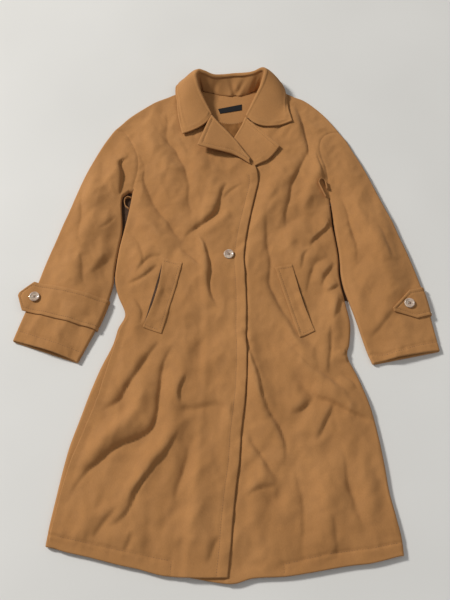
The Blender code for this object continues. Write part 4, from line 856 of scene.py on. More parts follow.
def stitch_path(path, surface):
    """The line of stitches along a path of a table."""
    plan = along(layout(path, 12 * MM), np.linspace(0, 1, 160))
    height = surface(plan[:, 0], plan[:, 1])
    return np.column_stack([plan, height]), normal_of(surface, plan)


# ------------------------------------------------------------------ body
TABLE = np.array(BODY)
LAST = len(BODY) - 1
ROLL = np.radians(np.linspace(0, 90, 7))     # rows round the shoulder's fold
ARM_ROWS = 62
BODY_ROWS = 240
BELOW_ARM = 0.08
STATIONS = np.concatenate([np.zeros(len(ROLL)), np.linspace(0, UNDERARM, ARM_ROWS + 1)[1:],
                           np.linspace(UNDERARM + BELOW_ARM, LAST, BODY_ROWS)])
RING = len(ROLL) + ARM_ROWS
FOLDED = np.arange(len(STATIONS)) >= RING
FRONT_COLUMNS = 100
BACK_COLUMNS = 46
STRIP = 8                    # columns over a folded side, of a front and of the back
BACK_STRIP = 16
STRIP_STEP = 1.2 * MM


def column(first, height):
    """One edge of BODY at every station, the shoulder's own fold included."""
    points = layout(TABLE[:, first:first + 2], height)
    edge = spline(points, STATIONS / LAST)
    down = unit(points[1] - points[0])
    reach = FLAT_TOP / 2 * (1 - np.cos(ROLL))
    edge[:len(ROLL)] = points[0] + np.outer(reach, down)
    near = STATIONS[len(ROLL):] < 0.5
    edge[len(ROLL):][near] += np.outer((0.5 - STATIONS[len(ROLL):][near]) * 2 * reach[-1], down)
    return edge


def amount(which):
    """A width of BODY at every station."""
    return np.interp(STATIONS, np.arange(LAST + 1), TABLE[:, which] * CM)


def square_to(edge, towards):
    """Plan directions square to an edge, on the side of the other line."""
    run = np.gradient(edge, axis=0)
    square = unit(np.stack([-run[:, 1], run[:, 0]], -1))
    return square * np.sign(np.sum(square * (towards - edge), axis=1, keepdims=True))


def armhole(first, towards, gap):
    """A side of the body, set in by half a seam as far as the armhole goes."""
    edge = column(first, SIDE_LEVEL)
    square = square_to(edge, towards)
    edge[:RING] += square[:RING] * gap
    return edge


def bend(shares, straight, shaped, weights):
    """Rows of straight plan lines, bent like the shaped line by each row's weight."""
    start, end = straight
    rows = start[:, None] + shares[..., None] * (end - start)[:, None]
    for at, weight in enumerate(weights):
        if weight > 0:
            rows[at] += weight * sag(shaped, shares[at])
    return rows


def sag(shaped, shares):
    """How far a shaped line lies off its own chord at these shares."""
    chord = shaped[0] + shares[:, None] * (shaped[-1] - shaped[0])
    return along(shaped, shares) - chord


def shoulder_weight():
    return np.clip(1 - STATIONS / UNDERARM, 0, 1) ** 1.5


def hem_weight():
    return smoothstep((STATIONS - (LAST - 5)) / 5)


def smooth_line(points):
    """A table's polyline as a fine smooth one."""
    return spline(points, np.linspace(0, 1, 12 * len(points)))


def roll_point(edge, way, radius, reach, level):
    """Outside of a folded side, reach round from its outermost line: up if positive."""
    quarter = math.pi / 2 * radius
    if reach > quarter:
        return np.array([*(edge + way * (radius + reach - quarter)), level])
    if reach < -quarter:
        return np.array([*(edge + way * (radius - reach - quarter)), 0.0])
    angle = reach / radius
    plan = edge + way * radius * (1 - math.cos(angle))
    return np.array([*plan, radius + radius * math.sin(angle)])


def seam_reach(inset, radius):
    if inset >= radius:
        return math.pi / 2 * radius + inset - radius
    return radius * math.acos(1 - inset / radius)


def edge_radius(edge, way):
    plan = edge + way * FLAT_TOP / 2
    return top(plan[:, 0], plan[:, 1]) / 2


def panel_normals(points, column_at, up):
    """Normals of a panel, on the side where its outside is at this column."""
    normals = grid_normals(points)
    upwards = normals[len(STATIONS) // 2, column_at, 2] > 0
    return normals if upwards == up else -normals


def lean_out(normals, plan, share):
    """Turns the normals of the first rows towards the way out of the panel."""
    out = np.concatenate([unit(plan[0] - plan[len(ROLL)]), np.zeros((plan.shape[1], 1))], -1)
    for at in range(3):
        weight = share * (1 - at / 3)
        normals[at] = unit(normals[at] * (1 - weight) + out * weight)


def turned_in(gap, width, fade):
    """1 near an edge, where the cloth is turned in, and 0 further inside."""
    return 1 - smoothstep((gap - width) / fade)


def front_plan(facing, inner, way, radius, starts, shoulder, hem):
    """Plan of a front's grid: a strip over the folded side, then columns up to its inner edge."""
    reach = np.linalg.norm(inner - facing, axis=1)[:, None]
    lead = np.arange(STRIP) * STRIP_STEP
    rest = np.linspace(0, 1, FRONT_COLUMNS + 1)[1:]
    shares = np.hstack([lead / reach, (lead[-1] + rest * (reach - lead[-1])) / reach])
    plan = bend(shares, (facing, inner), smooth_line(shoulder), shoulder_weight())
    hem_sag = sag(smooth_line(hem), rest)
    for at in np.flatnonzero(FOLDED):
        past_roll = starts[at] + STRIP * STRIP_STEP - math.pi / 2 * radius[at]
        inside = facing[at] + way[at] * (radius[at] + max(past_roll, 0))
        plan[at, STRIP:] = inside + rest[:, None] * (inner[at] - inside) + hem_weight()[at] * hem_sag
    return plan


def front(name, side, centre, seam, shoulder, hem, surface, seams):
    """One front: from its side seam and armhole to its neckline, roll line and front edge."""
    facing = armhole(side, column(centre, FLAT_TOP), SEAM / 2)
    inner = column(centre, FLAT_TOP)
    inner = inner - unit(inner - facing) * amount(TURN_GAP)[:, None]
    way = square_to(facing, inner)
    radius = edge_radius(facing, way)
    starts = [seam_reach(*at_row) + SEAM / 2 for at_row in zip(seam, radius)]
    plan = front_plan(facing, inner, way, radius, starts, layout(shoulder, SIDE_LEVEL), layout(hem, 9 * MM))
    points, _ = on_surface(surface, plan)
    middle = FLAT_TOP / 2
    rolled = np.sin(ROLL)[:, None]
    points[:len(ROLL), :, 2] = middle + (points[len(ROLL), :, 2] - middle) * rolled
    for at in np.flatnonzero(FOLDED):
        level = points[at, STRIP, 2]
        for step in range(STRIP):
            reach = starts[at] + step * STRIP_STEP
            points[at, step] = roll_point(facing[at], way[at], radius[at], reach, level)
    normals = panel_normals(points, FRONT_COLUMNS // 2, True)
    lean_out(normals, plan, 1)
    at_edge = turned_in(inset_lines(points, "right"), EDGE_TURNED, EDGE_FADE)
    at_hem = turned_in(inset_lines(points, "foot"), HEM_TURNED, HEM_FADE)
    below = STATIONS[:, None] > UNDERARM + 2
    thick = WALL + (HEMMED - WALL) * np.maximum(at_edge, at_hem) * below
    first = int(np.searchsorted(STATIONS, UNDERARM + 1.5))
    runs = stitch_edges(points[first:], normals[first:], FRONT_INSET, ["right"], 0.7 * MM)
    piece = cloth(name + "_cloth", points, normals, thick, node=name)
    runs += [stitch_path(GROOVES[number][0], surface) for number in seams]
    return piece, stitching(name + "_stitching", runs)


def back():
    """The back panel, flat on the floor and turned up to both side seams."""
    left = armhole(LEFT, column(RIGHT, SIDE_LEVEL), SEAM / 2)
    right = armhole(RIGHT, column(LEFT, SIDE_LEVEL), SEAM / 2)
    neckline = smooth_line(layout(BACK_NECK, WALL))
    crest = np.vstack([smooth_line(layout(SHOULDER_LEFT, SIDE_LEVEL)), neckline[1:-1],
                       smooth_line(layout(SHOULDER_RIGHT, SIDE_LEVEL))[::-1]])
    hem = np.vstack([layout(HEM_OVER[:-1], SIDE_LEVEL), layout(HEM_UNDER[:-1], SIDE_LEVEL)[::-1]])
    hem[:, 1] += HEM_BACK_RISE * CM * np.sin(np.linspace(0, math.pi, len(hem)))
    lead = np.arange(BACK_STRIP) * STRIP_STEP
    middle = np.linspace(0, 1, BACK_COLUMNS + 2)[1:-1]
    far = np.linalg.norm(right - left, axis=1)[:, None]
    between = lead[-1] + middle * (far - 2 * lead[-1])
    shares = np.hstack([lead / far, between / far, (far - lead[::-1]) / far])
    plan = bend(shares, (left, right), crest, shoulder_weight())
    points = np.concatenate([plan, np.zeros(plan.shape[:2] + (1,))], -1)
    neck = layout([BACK_NECK[0], BACK_NECK[-1]], SIDE_LEVEL)
    inside_neck = np.minimum(plan[0, :, 0] - neck[0, 0], neck[1, 0] - plan[0, :, 0])
    beside_neck = 1 - smoothstep(inside_neck / (30 * MM))
    points[:len(ROLL), :, 2] = (FLAT_TOP / 2 - SEAM) * (1 - np.sin(ROLL))[:, None] * beside_neck
    turn_up(points, left, right, amount(SEAM_INSET), range(BACK_STRIP))
    turn_up(points, right, left, 0 * amount(SEAM_INSET), range(-1, -1 - BACK_STRIP, -1))
    hem_sag = sag(along(hem, np.linspace(0, 1, 200)), middle)
    for at in np.flatnonzero(FOLDED):
        start, end = points[at, BACK_STRIP - 1, :2], points[at, -BACK_STRIP, :2]
        row = start + middle[:, None] * (end - start)
        points[at, BACK_STRIP:-BACK_STRIP, :2] = row + hem_weight()[at] * hem_sag
    normals = panel_normals(points, BACK_STRIP + 5, False)
    lean_out(normals, plan, beside_neck[:, None])
    return cloth("back_cloth", points, normals, WALL, node="back")


def turn_up(points, edge, far_edge, seam, columns):
    """Turns a side of the back up round its fold, as far as the seam with the front."""
    way = square_to(edge, far_edge)
    radius = edge_radius(edge, way)
    for at in np.flatnonzero(FOLDED):
        start = seam_reach(seam[at], radius[at]) - SEAM / 2
        level = top(*(edge[at] + way[at] * (radius[at] + 2 * MM)))
        stops = np.linspace(start, -math.pi / 2 * radius[at] - 1 * MM, BACK_STRIP)
        for spot, reach in zip(columns, stops):
            points[at, spot] = roll_point(edge[at], way[at], radius[at], reach, level)


# ------------------------------------------------------------------ sleeves
SLEEVE_ROWS_EACH = 11
UPPER = 46
INNER_TURNS = np.radians(np.linspace(75, -75, 7))
CUFF_ROWS = 14               # rows of the grid over which the cuff's hem thickens
# Columns of a sleeve's solid, and where they lie on the finer ring built here.
CAD_MARKS = (-1, 0, 3, 12, 13, 15)
TURN = len(ROLL) + UPPER
RING_MARKS = (-1 - 12 / 7, 0, len(ROLL) - 1, TURN - 1, TURN + 2, TURN + 6)


def sleeve_section(start, end, place, last, armhole_line, up_arm):
    """One ring of a sleeve, round from the outer edge over the top and back along the floor."""
    length = np.linalg.norm(end - start)
    across = unit(end - start)
    half = top(*(start + across * FLAT_TOP / 2)) / 2
    half_in = top(*(end - across * FLAT_TOP / 2)) / 2
    flat = length - half - half_in * min(place / 0.8, 1)
    far = half + np.linspace(0, 1, UPPER + 1)[1:] * flat
    share = np.concatenate([half * (1 - np.cos(ROLL)), far]) / length
    plan = start + share[:, None] * (end - start)
    plan = plan + np.clip(1 - place / 3.5, 0, 1) * sag(armhole_line, share)
    arch = np.sin(np.clip(share, 0, 1) * math.pi)
    at_cuff = smoothstep((place - last + 3) / 3) * arch ** 0.35
    drop = CUFF_DROP * at_cuff * (1 + 0.25 * ripple(share * 3, share, 1, 9.0))
    height = top(plan[:, 0], plan[:, 1]) + SLEEVE_CROWN * smoothstep(place / 4) * arch - drop
    upper = np.column_stack([plan - up_arm * CUFF_SETBACK * at_cuff[:, None], height])
    lower = np.column_stack([plan, np.zeros(len(plan))])
    folded = len(ROLL) - 1
    upper[:folded, 2] = half + (height[folded] - half) * np.sin(ROLL[:-1])
    lower[:folded, 2] = half * (1 - np.sin(ROLL[:-1]))
    way_in = unit(plan[-1] - plan[-2])
    rise_in = height[-1] / 2
    inner = [np.array([*(plan[-1] + way_in * half_in * math.cos(angle)), rise_in + rise_in * math.sin(angle)])
             for angle in INNER_TURNS]
    return np.vstack([upper, inner, lower[:0:-1]])


def sleeve_ring(side, body_side, table):
    """Outside of a sleeve: its rings from the armhole to the cuff, and their normals."""
    corners = layout(np.array(table).reshape(-1, 2, 2), SIDE_LEVEL)
    seam_line = armhole(side, column(body_side, SIDE_LEVEL), -SEAM / 2)[:RING]
    steps = np.linspace(0, 1, len(corners) * SLEEVE_ROWS_EACH + 1)
    outer = spline(np.vstack([seam_line[:1], corners[:, 0]]), steps)
    inner = spline(np.vstack([seam_line[-1:], corners[:, 1]]), steps)
    middle = outer + inner
    down_arm = np.vstack([np.zeros((1, 2)), unit(np.diff(middle, axis=0))])
    last = len(corners)
    points = np.array([sleeve_section(start, end, step * last, last, seam_line, way)
                       for start, end, step, way in zip(outer, inner, steps, down_arm)])
    around = np.roll(points, -1, 1) - np.roll(points, 1, 1)
    normals = unit(np.cross(around, np.gradient(points, axis=0)))
    if normals[len(normals) // 2, len(ROLL) + UPPER // 2, 2] < 0:
        normals = -normals
    return points, normals


def on_ring(ring, row, column_at):
    """Point and normal of a sleeve at a row of its table and a column of its solid."""
    row = row * SLEEVE_ROWS_EACH
    column_at = np.interp(column_at, CAD_MARKS, RING_MARKS)
    found = []
    for grid in ring:
        lines, around = grid.shape[:2]
        low, left = min(int(row), lines - 2), math.floor(column_at)
        down, across = row - low, column_at - left
        a, b = grid[low, left % around], grid[low, (left + 1) % around]
        c, d = grid[low + 1, left % around], grid[low + 1, (left + 1) % around]
        found.append((1 - down) * ((1 - across) * a + across * b) + down * ((1 - across) * c + across * d))
    return found[0], unit(found[1])


def sleeve(name, ring, cuff_seam):
    """A sleeve's shell, thicker at the cuff's hem, and the stitches of that hem."""
    points, normals = ring
    thick = np.full(len(points), WALL)
    thick[-CUFF_ROWS:] = np.linspace(WALL, HEMMED, CUFF_ROWS)
    piece = tube(name + "_cloth", points, normals, thick, name)
    hem = stitch_path(GROOVES[cuff_seam][0], crowned(points))
    return piece, stitching(name + "_stitching", [hem])


def crowned(points):
    """A sleeve's upper side as a surface, from its nearest grid points."""
    upper = points[:, len(ROLL) - 1:len(ROLL) + UPPER].reshape(-1, 3)

    def surface(x, y):
        found = np.zeros(np.shape(x))
        for at, (a, b) in enumerate(zip(np.ravel(x), np.ravel(y))):
            far = (upper[:, 0] - a) ** 2 + (upper[:, 1] - b) ** 2
            near = np.argsort(far)[:4]
            weight = 1 / (far[near] + 1e-8)
            found.flat[at] = np.sum(upper[near, 2] * weight) / weight.sum()
        return found
    return surface


# ------------------------------------------------------------------ sleeve tabs
TAB_COLUMNS = 25
TIP_ROWS = 21
TIP_SQUARE = 11 * MM         # how far the right tab stays full width past the sleeve
TIP_WIDTH = 0.1              # width of a point's end, as a share of the tab's


def tab_grid(ring, rows, columns):
    """Outside of a tab over a sleeve, with how wide it is at each column of the solid."""
    points, normals = [], []
    middle = (rows[0] + rows[1]) / 2
    for place, narrow in columns:
        across = np.linspace(*[middle + (row - middle) * narrow for row in rows], TAB_COLUMNS)
        found = [on_ring(ring, row, place) for row in across]
        points.append([point + normal * (TAB_CLEAR + TAB_THICK) for point, normal in found])
        normals.append([normal for _, normal in found])
    return np.array(points), np.array(normals)


def tab_right(ring):
    """The tab on the image's left, whose point stands out past the sleeve's outer edge."""
    places = np.concatenate([np.linspace(3, 12, 56), np.linspace(12, 14.6, 16)[1:]])
    points, normals = tab_grid(ring, TAB_RIGHT_ROWS, [(place, 1) for place in places])
    out = unit(points[0] - points[3])
    out[:, 2] = 0
    out = unit(out).mean(axis=0)
    middle = points[0].mean(axis=0)
    tip = []
    for share in np.linspace(1, 0, TIP_ROWS + 1)[:-1]:
        reach = TAB_RIGHT_POINT * share
        taper = max(reach - TIP_SQUARE, 0) / (TAB_RIGHT_POINT - TIP_SQUARE)
        row = middle + (points[0] - middle) * (1 - (1 - TIP_WIDTH) * taper) + out * reach
        row[:, 2] = points[0, :, 2].mean() - 2.5 * MM * share**2 + 1.2 * MM * math.sin(share * math.pi)
        tip.append(row)
    points = np.concatenate([tip, points])
    normals = np.concatenate([np.tile([0.0, 0.0, 1.0], (TIP_ROWS, TAB_COLUMNS, 1)), normals])
    return tab("sleeve_tab_right", points, normals, ["head", "left", "right"])


def tab_left(ring):
    """The tab on the image's right, whose point lies on top of the sleeve."""
    reach = TAB_LEFT_POINT - TAB_LEFT_SQUARE
    columns = [(place, 1) for place in np.linspace(-1, TAB_LEFT_SQUARE, 46)]
    columns += [(TAB_LEFT_SQUARE + reach * share, 1 - (1 - TIP_WIDTH) * share)
                for share in np.linspace(0, 1, 24)[1:]]
    points, normals = tab_grid(ring, TAB_LEFT_ROWS, columns)
    return tab("sleeve_tab_left", points, normals, ["foot", "left", "right"])


def tab(name, points, normals, edges):
    points[..., 2] = np.maximum(points[..., 2], OFF_FLOOR + TAB_THICK / 4)
    runs = stitch_edges(points, normals, TAB_INSET, edges)
    piece = cloth(name + "_cloth", points, normals, TAB_THICK, node=name)
    return piece, stitching(name + "_stitching", runs), points


# ------------------------------------------------------------------ collar and lapels
STAND_COLUMNS = 8            # columns of the stand, then of the roll, then of the leaf
ROLL_COLUMNS = 11
LEAF_COLUMNS = 26
LEAF = STAND_COLUMNS + ROLL_COLUMNS
OUTSIDE_LEVEL = 6 * MM       # a leaf's edge lies on a front if it is higher than this
LEAF_WAVE = 0.6 * MM
STAND_WAVE = 2.4 * MM


def turned_row(row, crest_radius):
    """A section through a turned piece: up its stand, round the roll, down the leaf."""
    seam, roll, pull, edge = (
        np.array([*layout(point[:2], point[2] * MM), point[2] * MM]) for point in row.reshape(4, 3)
    )
    stand = unit(seam - roll)
    leaf = unit(pull - roll)
    back_way = unit(stand + leaf)
    across = leaf - stand
    across = unit(across - back_way * np.dot(across, back_way))
    centre = roll + back_way * crest_radius
    arc = [centre + crest_radius * (math.cos(turn) * -across - math.sin(turn) * back_way)
           for turn in np.linspace(0, math.pi, ROLL_COLUMNS)]
    inner = [seam + (arc[0] - seam) * share for share in np.linspace(0, 1, STAND_COLUMNS + 1)[:-1]]
    outer = [(1 - share) ** 2 * arc[-1] + 2 * share * (1 - share) * pull + share**2 * edge
             for share in np.linspace(0, 1, LEAF_COLUMNS + 1)[1:]]
    return inner + arc + outer


def neck_top(x, y):
    """What the collar lies on: the upper front on one side of the neck, the lower on the other."""
    return np.where(x < layout([NECK_MIDDLE], SIDE_LEVEL)[0, 0], top_over(x, y), top_under(x, y))


def turned(name, table, crest_radius, rows_each, edges, surface, tucks=()):
    """A collar or lapel, its leaf kept clear of the cloth that it lies on."""
    rows = spline(table, np.linspace(0, 1, (len(table) - 1) * rows_each + 1))
    middle = np.array([turned_row(row, crest_radius) for row in rows])
    columns = np.arange(middle.shape[1])
    levels = np.array(table)[:, -1] * MM
    level = np.interp(np.linspace(0, 1, len(middle)), np.linspace(0, 1, len(levels)), levels)
    on_front = smoothstep((level - OUTSIDE_LEVEL) / OUTSIDE_LEVEL)
    lowest = surface(middle[..., 0], middle[..., 1]) + FACED / 2 + LEAF_CLEAR
    lift = not_below(middle[..., 2], lowest) - middle[..., 2]
    middle[..., 2] += lift * on_front[:, None] * smoothstep((columns - 12) / 8)
    normals = grid_normals(middle)
    x, y = middle[..., 0], middle[..., 1]
    on_stand = 1 - smoothstep((columns - 6) / 8)
    wave = LEAF_WAVE * ripple(x, y, 34 * MM, 7.0) + STAND_WAVE * on_stand * ripple(x, y * 0.4, 26 * MM, 2.5)
    station = np.linspace(0, len(table) - 1, len(middle))[:, None]
    climb = np.clip(columns[None, :] / 9, 0, 1)
    for at_seam, at_roll, wide, deep in tucks:
        away = station - at_seam - (at_roll - at_seam) * climb
        fade = 1 - smoothstep((climb - 0.15) / 0.8)
        wave = wave + 1.3 * deep * MM * fade * (1.6 * hump(away, wide) - 0.8 * hump(away, 2.2 * wide))
    points = middle + normals * (FACED / 2 + wave[..., None])
    points[..., 2] = np.maximum(points[..., 2], OFF_FLOOR + FACED / 2)
    runs = stitch_edges(points[:, LEAF:], normals[:, LEAF:], STITCH_INSET, edges, 1.3 * MM)
    piece = cloth(name + "_cloth", points, normals, FACED, node=name)
    return piece, stitching(name + "_stitching", runs)


# ------------------------------------------------------------------ pieces that lie on a panel
WELT_COLUMNS = 18
WELT_ROWS = 66
MOUTH_GAPE = 3.4 * MM        # how far a welt stands up at the middle of its mouth
MOUTH_LIFT = 0.7 * MM
MOUTH_THICK = 0.6 * MM
UNDERARM_LEVEL = 3 * MM      # the back's cloth in the gap between body and sleeve
UNDERARM_THICK = 2.4 * MM


def patch(corners, columns, rows):
    """A grid over a four-sided patch of the plan."""
    a, b, c, d = (np.asarray(corner, float) for corner in corners)
    u = np.linspace(0, 1, columns)[None, :, None]
    v = np.linspace(0, 1, rows)[:, None, None]
    return (1 - v) * ((1 - u) * a + u * b) + v * ((1 - u) * d + u * c)


def upwards(points):
    """Normals that all point straight up."""
    normals = np.zeros_like(points)
    normals[..., 2] = 1
    return normals


def laid(name, plan, surface, thick, slot="cloth", edges=(), inset=0, gape=0):
    """A piece that lies on a surface, stitched along some of its edges."""
    points, normals = on_surface(surface, plan)
    points = points + normals * (thick + CLEAR)
    points[..., 2] += gape
    runs = stitch_edges(points, normals, inset, edges, 0.5 * MM) if edges else []
    piece = cloth(name + "_cloth", points, normals, thick, slot, name)
    return piece, stitching(name + "_stitching", runs) if runs else None


def welt(name, corners, surface, mouth, bow):
    """A pocket's welt, which stands a little open along its mouth, and a dark sheet inside it: the pocket
    bag, painted dark as shade.
    """
    plan = patch(layout(corners, 14 * MM), WELT_COLUMNS, WELT_ROWS)
    if mouth == "right":
        plan = plan[:, ::-1]
    across = np.linspace(0, 1, WELT_COLUMNS)[None, :]
    length = (np.sin(np.linspace(0, math.pi, WELT_ROWS)) ** 1.2)[:, None]
    edge, inwards = plan[:, :1].copy(), unit(plan[:, -1:] - plan[:, :1])
    plan = plan + inwards * (bow * length * (1 - smoothstep(across / 0.7)))[..., None]
    inside = edge + inwards * np.linspace(0, 1, 8)[None, :, None] * (bow * length + 3 * MM)[..., None]
    open_to, _ = on_surface(surface, inside)
    open_to[..., 2] += MOUTH_LIFT
    # The pocket bag under the mouth is coloured dark as painted shade.
    cloth(name + "_mouth", open_to, upwards(open_to), MOUTH_THICK, "pocket")
    gape = MOUTH_GAPE * (1 - smoothstep(across / 0.5)) * length
    return laid(name, plan, surface, WELT_THICK, "cloth", ["right", "head", "foot"], WELT_INSET, gape)


def slack_lining(x, y):
    """The lining under the neck facing, which lies in small ripples."""
    ribs = 1.9 * MM * (1 + ripple(x, y * 0.5, 11 * MM, 4.0))
    return WALL + ribs + 0.6 * MM * ripple(x + y, y, 6 * MM, 8.0)


def bowed_label(x, y):
    """What the label is sewn on: the facing, a little uneven."""
    return WALL + CLEAR + FACING_THICK + 0.3 * MM * (1 + ripple(x, y, 25 * MM, 5.0))


def inside_neck():
    """The back facing, the lining below it and the bare label."""
    rows = spline(NECK_FACING, np.linspace(0, 1, 61))
    upper, lower = layout(rows[:, :2], 4 * MM), layout(rows[:, 2:], 4 * MM)
    shares = np.linspace(0, 1, 26)[:, None, None]
    plan = upper + shares * (lower - upper)
    facing = laid("neck_facing", plan, on_level(WALL), FACING_THICK, "cloth", ["foot"], 4 * MM)
    head = lower + np.array([0, 2 * MM])
    foot = np.stack([head[:, 0], np.full(len(rows), layout([(0, LINING_FOOT)], 4 * MM)[0, 1])], -1)
    lining = laid("back_lining", head + shares * (foot - head), slack_lining, LINING_THICK, "lining")
    label = laid("neck_label", patch(layout(LABEL, 6 * MM), 24, 9), bowed_label, LABEL_THICK, "label")
    return facing, lining, label


def underarm(name, table, first, far, near):
    """The back's cloth where it shows, low between the body and a sleeve, coloured dark as painted shade."""
    levels = np.linspace(far, near, 120)
    sleeve_side = np.array([row[2:] for row in table])[::-1]
    body_side = np.array([row[first:first + 2] for row in BODY])[::-1]
    start, end = (np.interp(levels, side[:, 1], side[:, 0])[:, None] for side in (sleeve_side, body_side))
    shares = np.linspace(0, 1, 9)[None, :]
    across = start * (1 - shares) + end * shares
    plan = layout(np.stack([across, np.repeat(levels[:, None], 9, 1)], -1), 4 * MM)
    height = UNDERARM_LEVEL + 0.4 * MM * ripple(plan[..., 0], plan[..., 1], 12 * MM, 6.0)
    points = np.concatenate([plan, height[..., None]], -1)
    return cloth(name, points, upwards(points), UNDERARM_THICK, "shade"), None


def belt_loop(name, table, surface, level):
    """A narrow band that stands on its edge along a curve."""
    table = spline(table, np.linspace(0, 1, 44))
    line = layout(table[:, :2], level)
    foot = np.column_stack([line, surface(line[:, 0], line[:, 1]) + table[:, 2] * MM])
    middle = foot[:, None] + np.linspace(0, 1, 7)[None, :, None] * np.array([0, 0, LOOP_WIDTH])
    normals = grid_normals(middle)
    return cloth(name + "_cloth", middle + normals * LOOP_THICK / 2, normals, LOOP_THICK, node=name), None


# ------------------------------------------------------------------ buttons
PROFILE = ((0.0, 1.9), (3.4, 1.9), (6.4, 2.2), (7.6, 2.7), (8.4, 3.3), (9.4, 3.6), (10.3, 3.2), (10.9, 2.4),
           (11.0, 1.8), (10.7, 1.0), (9.8, 0.4), (8.6, 0.0), (0.0, 0.0))


HOLES = [2.5 * MM * np.array([math.cos(angle), math.sin(angle)]) for angle in np.radians([33, 123, 213, 303])]
HOLE_RADIUS = 0.95 * MM
THREAD_HALF = 0.5 * MM
THREAD_RISE = 0.4            # millimetres from a thread's sides up to its crest
# A button's thread: share of the way from hole to hole, and height in millimetres.
THREAD_LINE = ((0, 0.6), (0.12, 2.3), (0.5, 2.6), (0.88, 2.3), (1, 0.6))


def button_disc(name):
    """A turned disc with a raised rim and four drilled holes."""
    shape = bmesh.new()
    line = [shape.verts.new((x * MM, 0, z * MM)) for x, z in PROFILE]
    edges = [shape.edges.new(pair) for pair in zip(line[:-1], line[1:])]
    bmesh.ops.spin(shape, geom=line + edges, cent=(0, 0, 0), axis=(0, 0, 1), angle=2 * math.pi, steps=60)
    bmesh.ops.remove_doubles(shape, verts=shape.verts, dist=0.00001)
    bmesh.ops.recalc_face_normals(shape, faces=shape.faces)
    mesh = bpy.data.meshes.new(name)
    shape.to_mesh(mesh)
    shape.free()
    piece = bpy.data.objects.new(name + "_disc", mesh)
    bpy.context.scene.collection.objects.link(piece)
    drills = []
    for spot in HOLES:
        place = (*spot, 0)
        bpy.ops.mesh.primitive_cylinder_add(vertices=16, radius=HOLE_RADIUS, depth=12 * MM, location=place)
        drills.append(bpy.context.object)
        hole = piece.modifiers.new("hole", "BOOLEAN")
        hole.operation = "DIFFERENCE"
        hole.solver = "EXACT"
        hole.object = drills[-1]
    bpy.context.view_layer.objects.active = piece
    graph = bpy.context.evaluated_depsgraph_get()
    baked = bpy.data.meshes.new_from_object(piece.evaluated_get(graph))
    piece.modifiers.clear()
    piece.data = baked
    for drill in drills:
        bpy.data.objects.remove(drill)
    return piece


def crossed_thread():
    """Points and faces of two threads that cross between the holes, one over the other."""
    points, faces = [], []
    for number in range(2):
        a, b = HOLES[number], HOLES[number + 2]
        side = unit(np.array([-(b - a)[1], (b - a)[0]])) * THREAD_HALF
        first = len(points)
        for share, level in THREAD_LINE:
            spot = a + (b - a) * share
            level = level + 0.25 * number
            points += [(*(spot + side), level * MM), (*spot, (level + THREAD_RISE) * MM),
                       (*(spot - side), level * MM)]
        for corner in (first + 3 * row + half for row in range(len(THREAD_LINE) - 1) for half in range(2)):
            faces.append((corner, corner + 1, corner + 4, corner + 3))
    return points, faces


def button(name, plan, rest, tilt):
    """A four-holed button, sewn on with a crossed thread."""
    piece = button_disc(name)
    placed = Matrix.Translation((*plan, rest)) @ Matrix.Rotation(tilt[0], 4, "X")
    placed = placed @ Matrix.Rotation(tilt[1], 4, "Y")
    piece.data.transform(placed)
    piece.data.shade_smooth()
    piece.data.set_sharp_from_angle(angle=math.radians(45))
    piece.data.materials.clear()
    piece.data.materials.append(MATERIALS["button"])
    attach(piece, "root")
    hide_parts(name)
    points, faces = crossed_thread()
    points = [tuple(placed @ Vector(point)) for point in points]
    add_piece(name + "_thread", points, faces, "button_thread", None)


# ------------------------------------------------------------------ materials
def node_tree(name):
    """A new material, its nodes, its shader and the place on the piece."""
    found = bpy.data.materials.new(name)
    found.use_nodes = True
    tree = found.node_tree
    place = add_node(tree, "ShaderNodeTexCoord").outputs["Object"]
    return found, tree, tree.nodes["Principled BSDF"], place


def wire(tree, source, target):
    tree.links.new(source, target)


def surface_values(shader, **values):
    """Sets plain values on a shader's own inputs."""
    for key, value in values.items():
        shader.inputs[key.replace("_", " ")].default_value = value


def add_node(tree, kind, **values):
    made = tree.nodes.new(kind)
    for key, value in values.items():
        if hasattr(made, key):
            setattr(made, key, value)
        else:
            made.inputs[key.replace("_", " ")].default_value = value
    return made


def fibre_noise(tree, place, scale, detail, stretch=(1, 1, 1)):
    mapping = add_node(tree, "ShaderNodeMapping")
    mapping.inputs["Scale"].default_value = stretch
    wire(tree, place, mapping.inputs["Vector"])
    cloud = add_node(tree, "ShaderNodeTexNoise", Scale=scale, Detail=detail)
    wire(tree, mapping.outputs["Vector"], cloud.inputs["Vector"])
    return cloud.outputs["Fac"]


def ramp(tree, source, low, high, at=(0.3, 0.7)):
    made = add_node(tree, "ShaderNodeValToRGB")
    made.color_ramp.elements[0].position = at[0]
    made.color_ramp.elements[1].position = at[1]
    made.color_ramp.elements[0].color = (*low, 1)
    made.color_ramp.elements[1].color = (*high, 1)
    wire(tree, source, made.inputs["Fac"])
    return made.outputs["Color"]


def mix(tree, a, b, factor, blend="MIX"):
    made = add_node(tree, "ShaderNodeMix", data_type="RGBA", blend_type=blend)
    for source, spot in ((factor, 0), (a, 6), (b, 7)):
        if isinstance(source, (int, float)):
            made.inputs[spot].default_value = source
        elif isinstance(source, tuple):
            made.inputs[spot].default_value = (*source, 1)
        else:
            wire(tree, source, made.inputs[spot])
    return made.outputs[2]


def bump(tree, height, strength, distance, normal=None):
    made = add_node(tree, "ShaderNodeBump", Strength=strength, Distance=distance)
    wire(tree, height, made.inputs["Height"])
    if normal is not None:
        wire(tree, normal, made.inputs["Normal"])
    return made.outputs["Normal"]


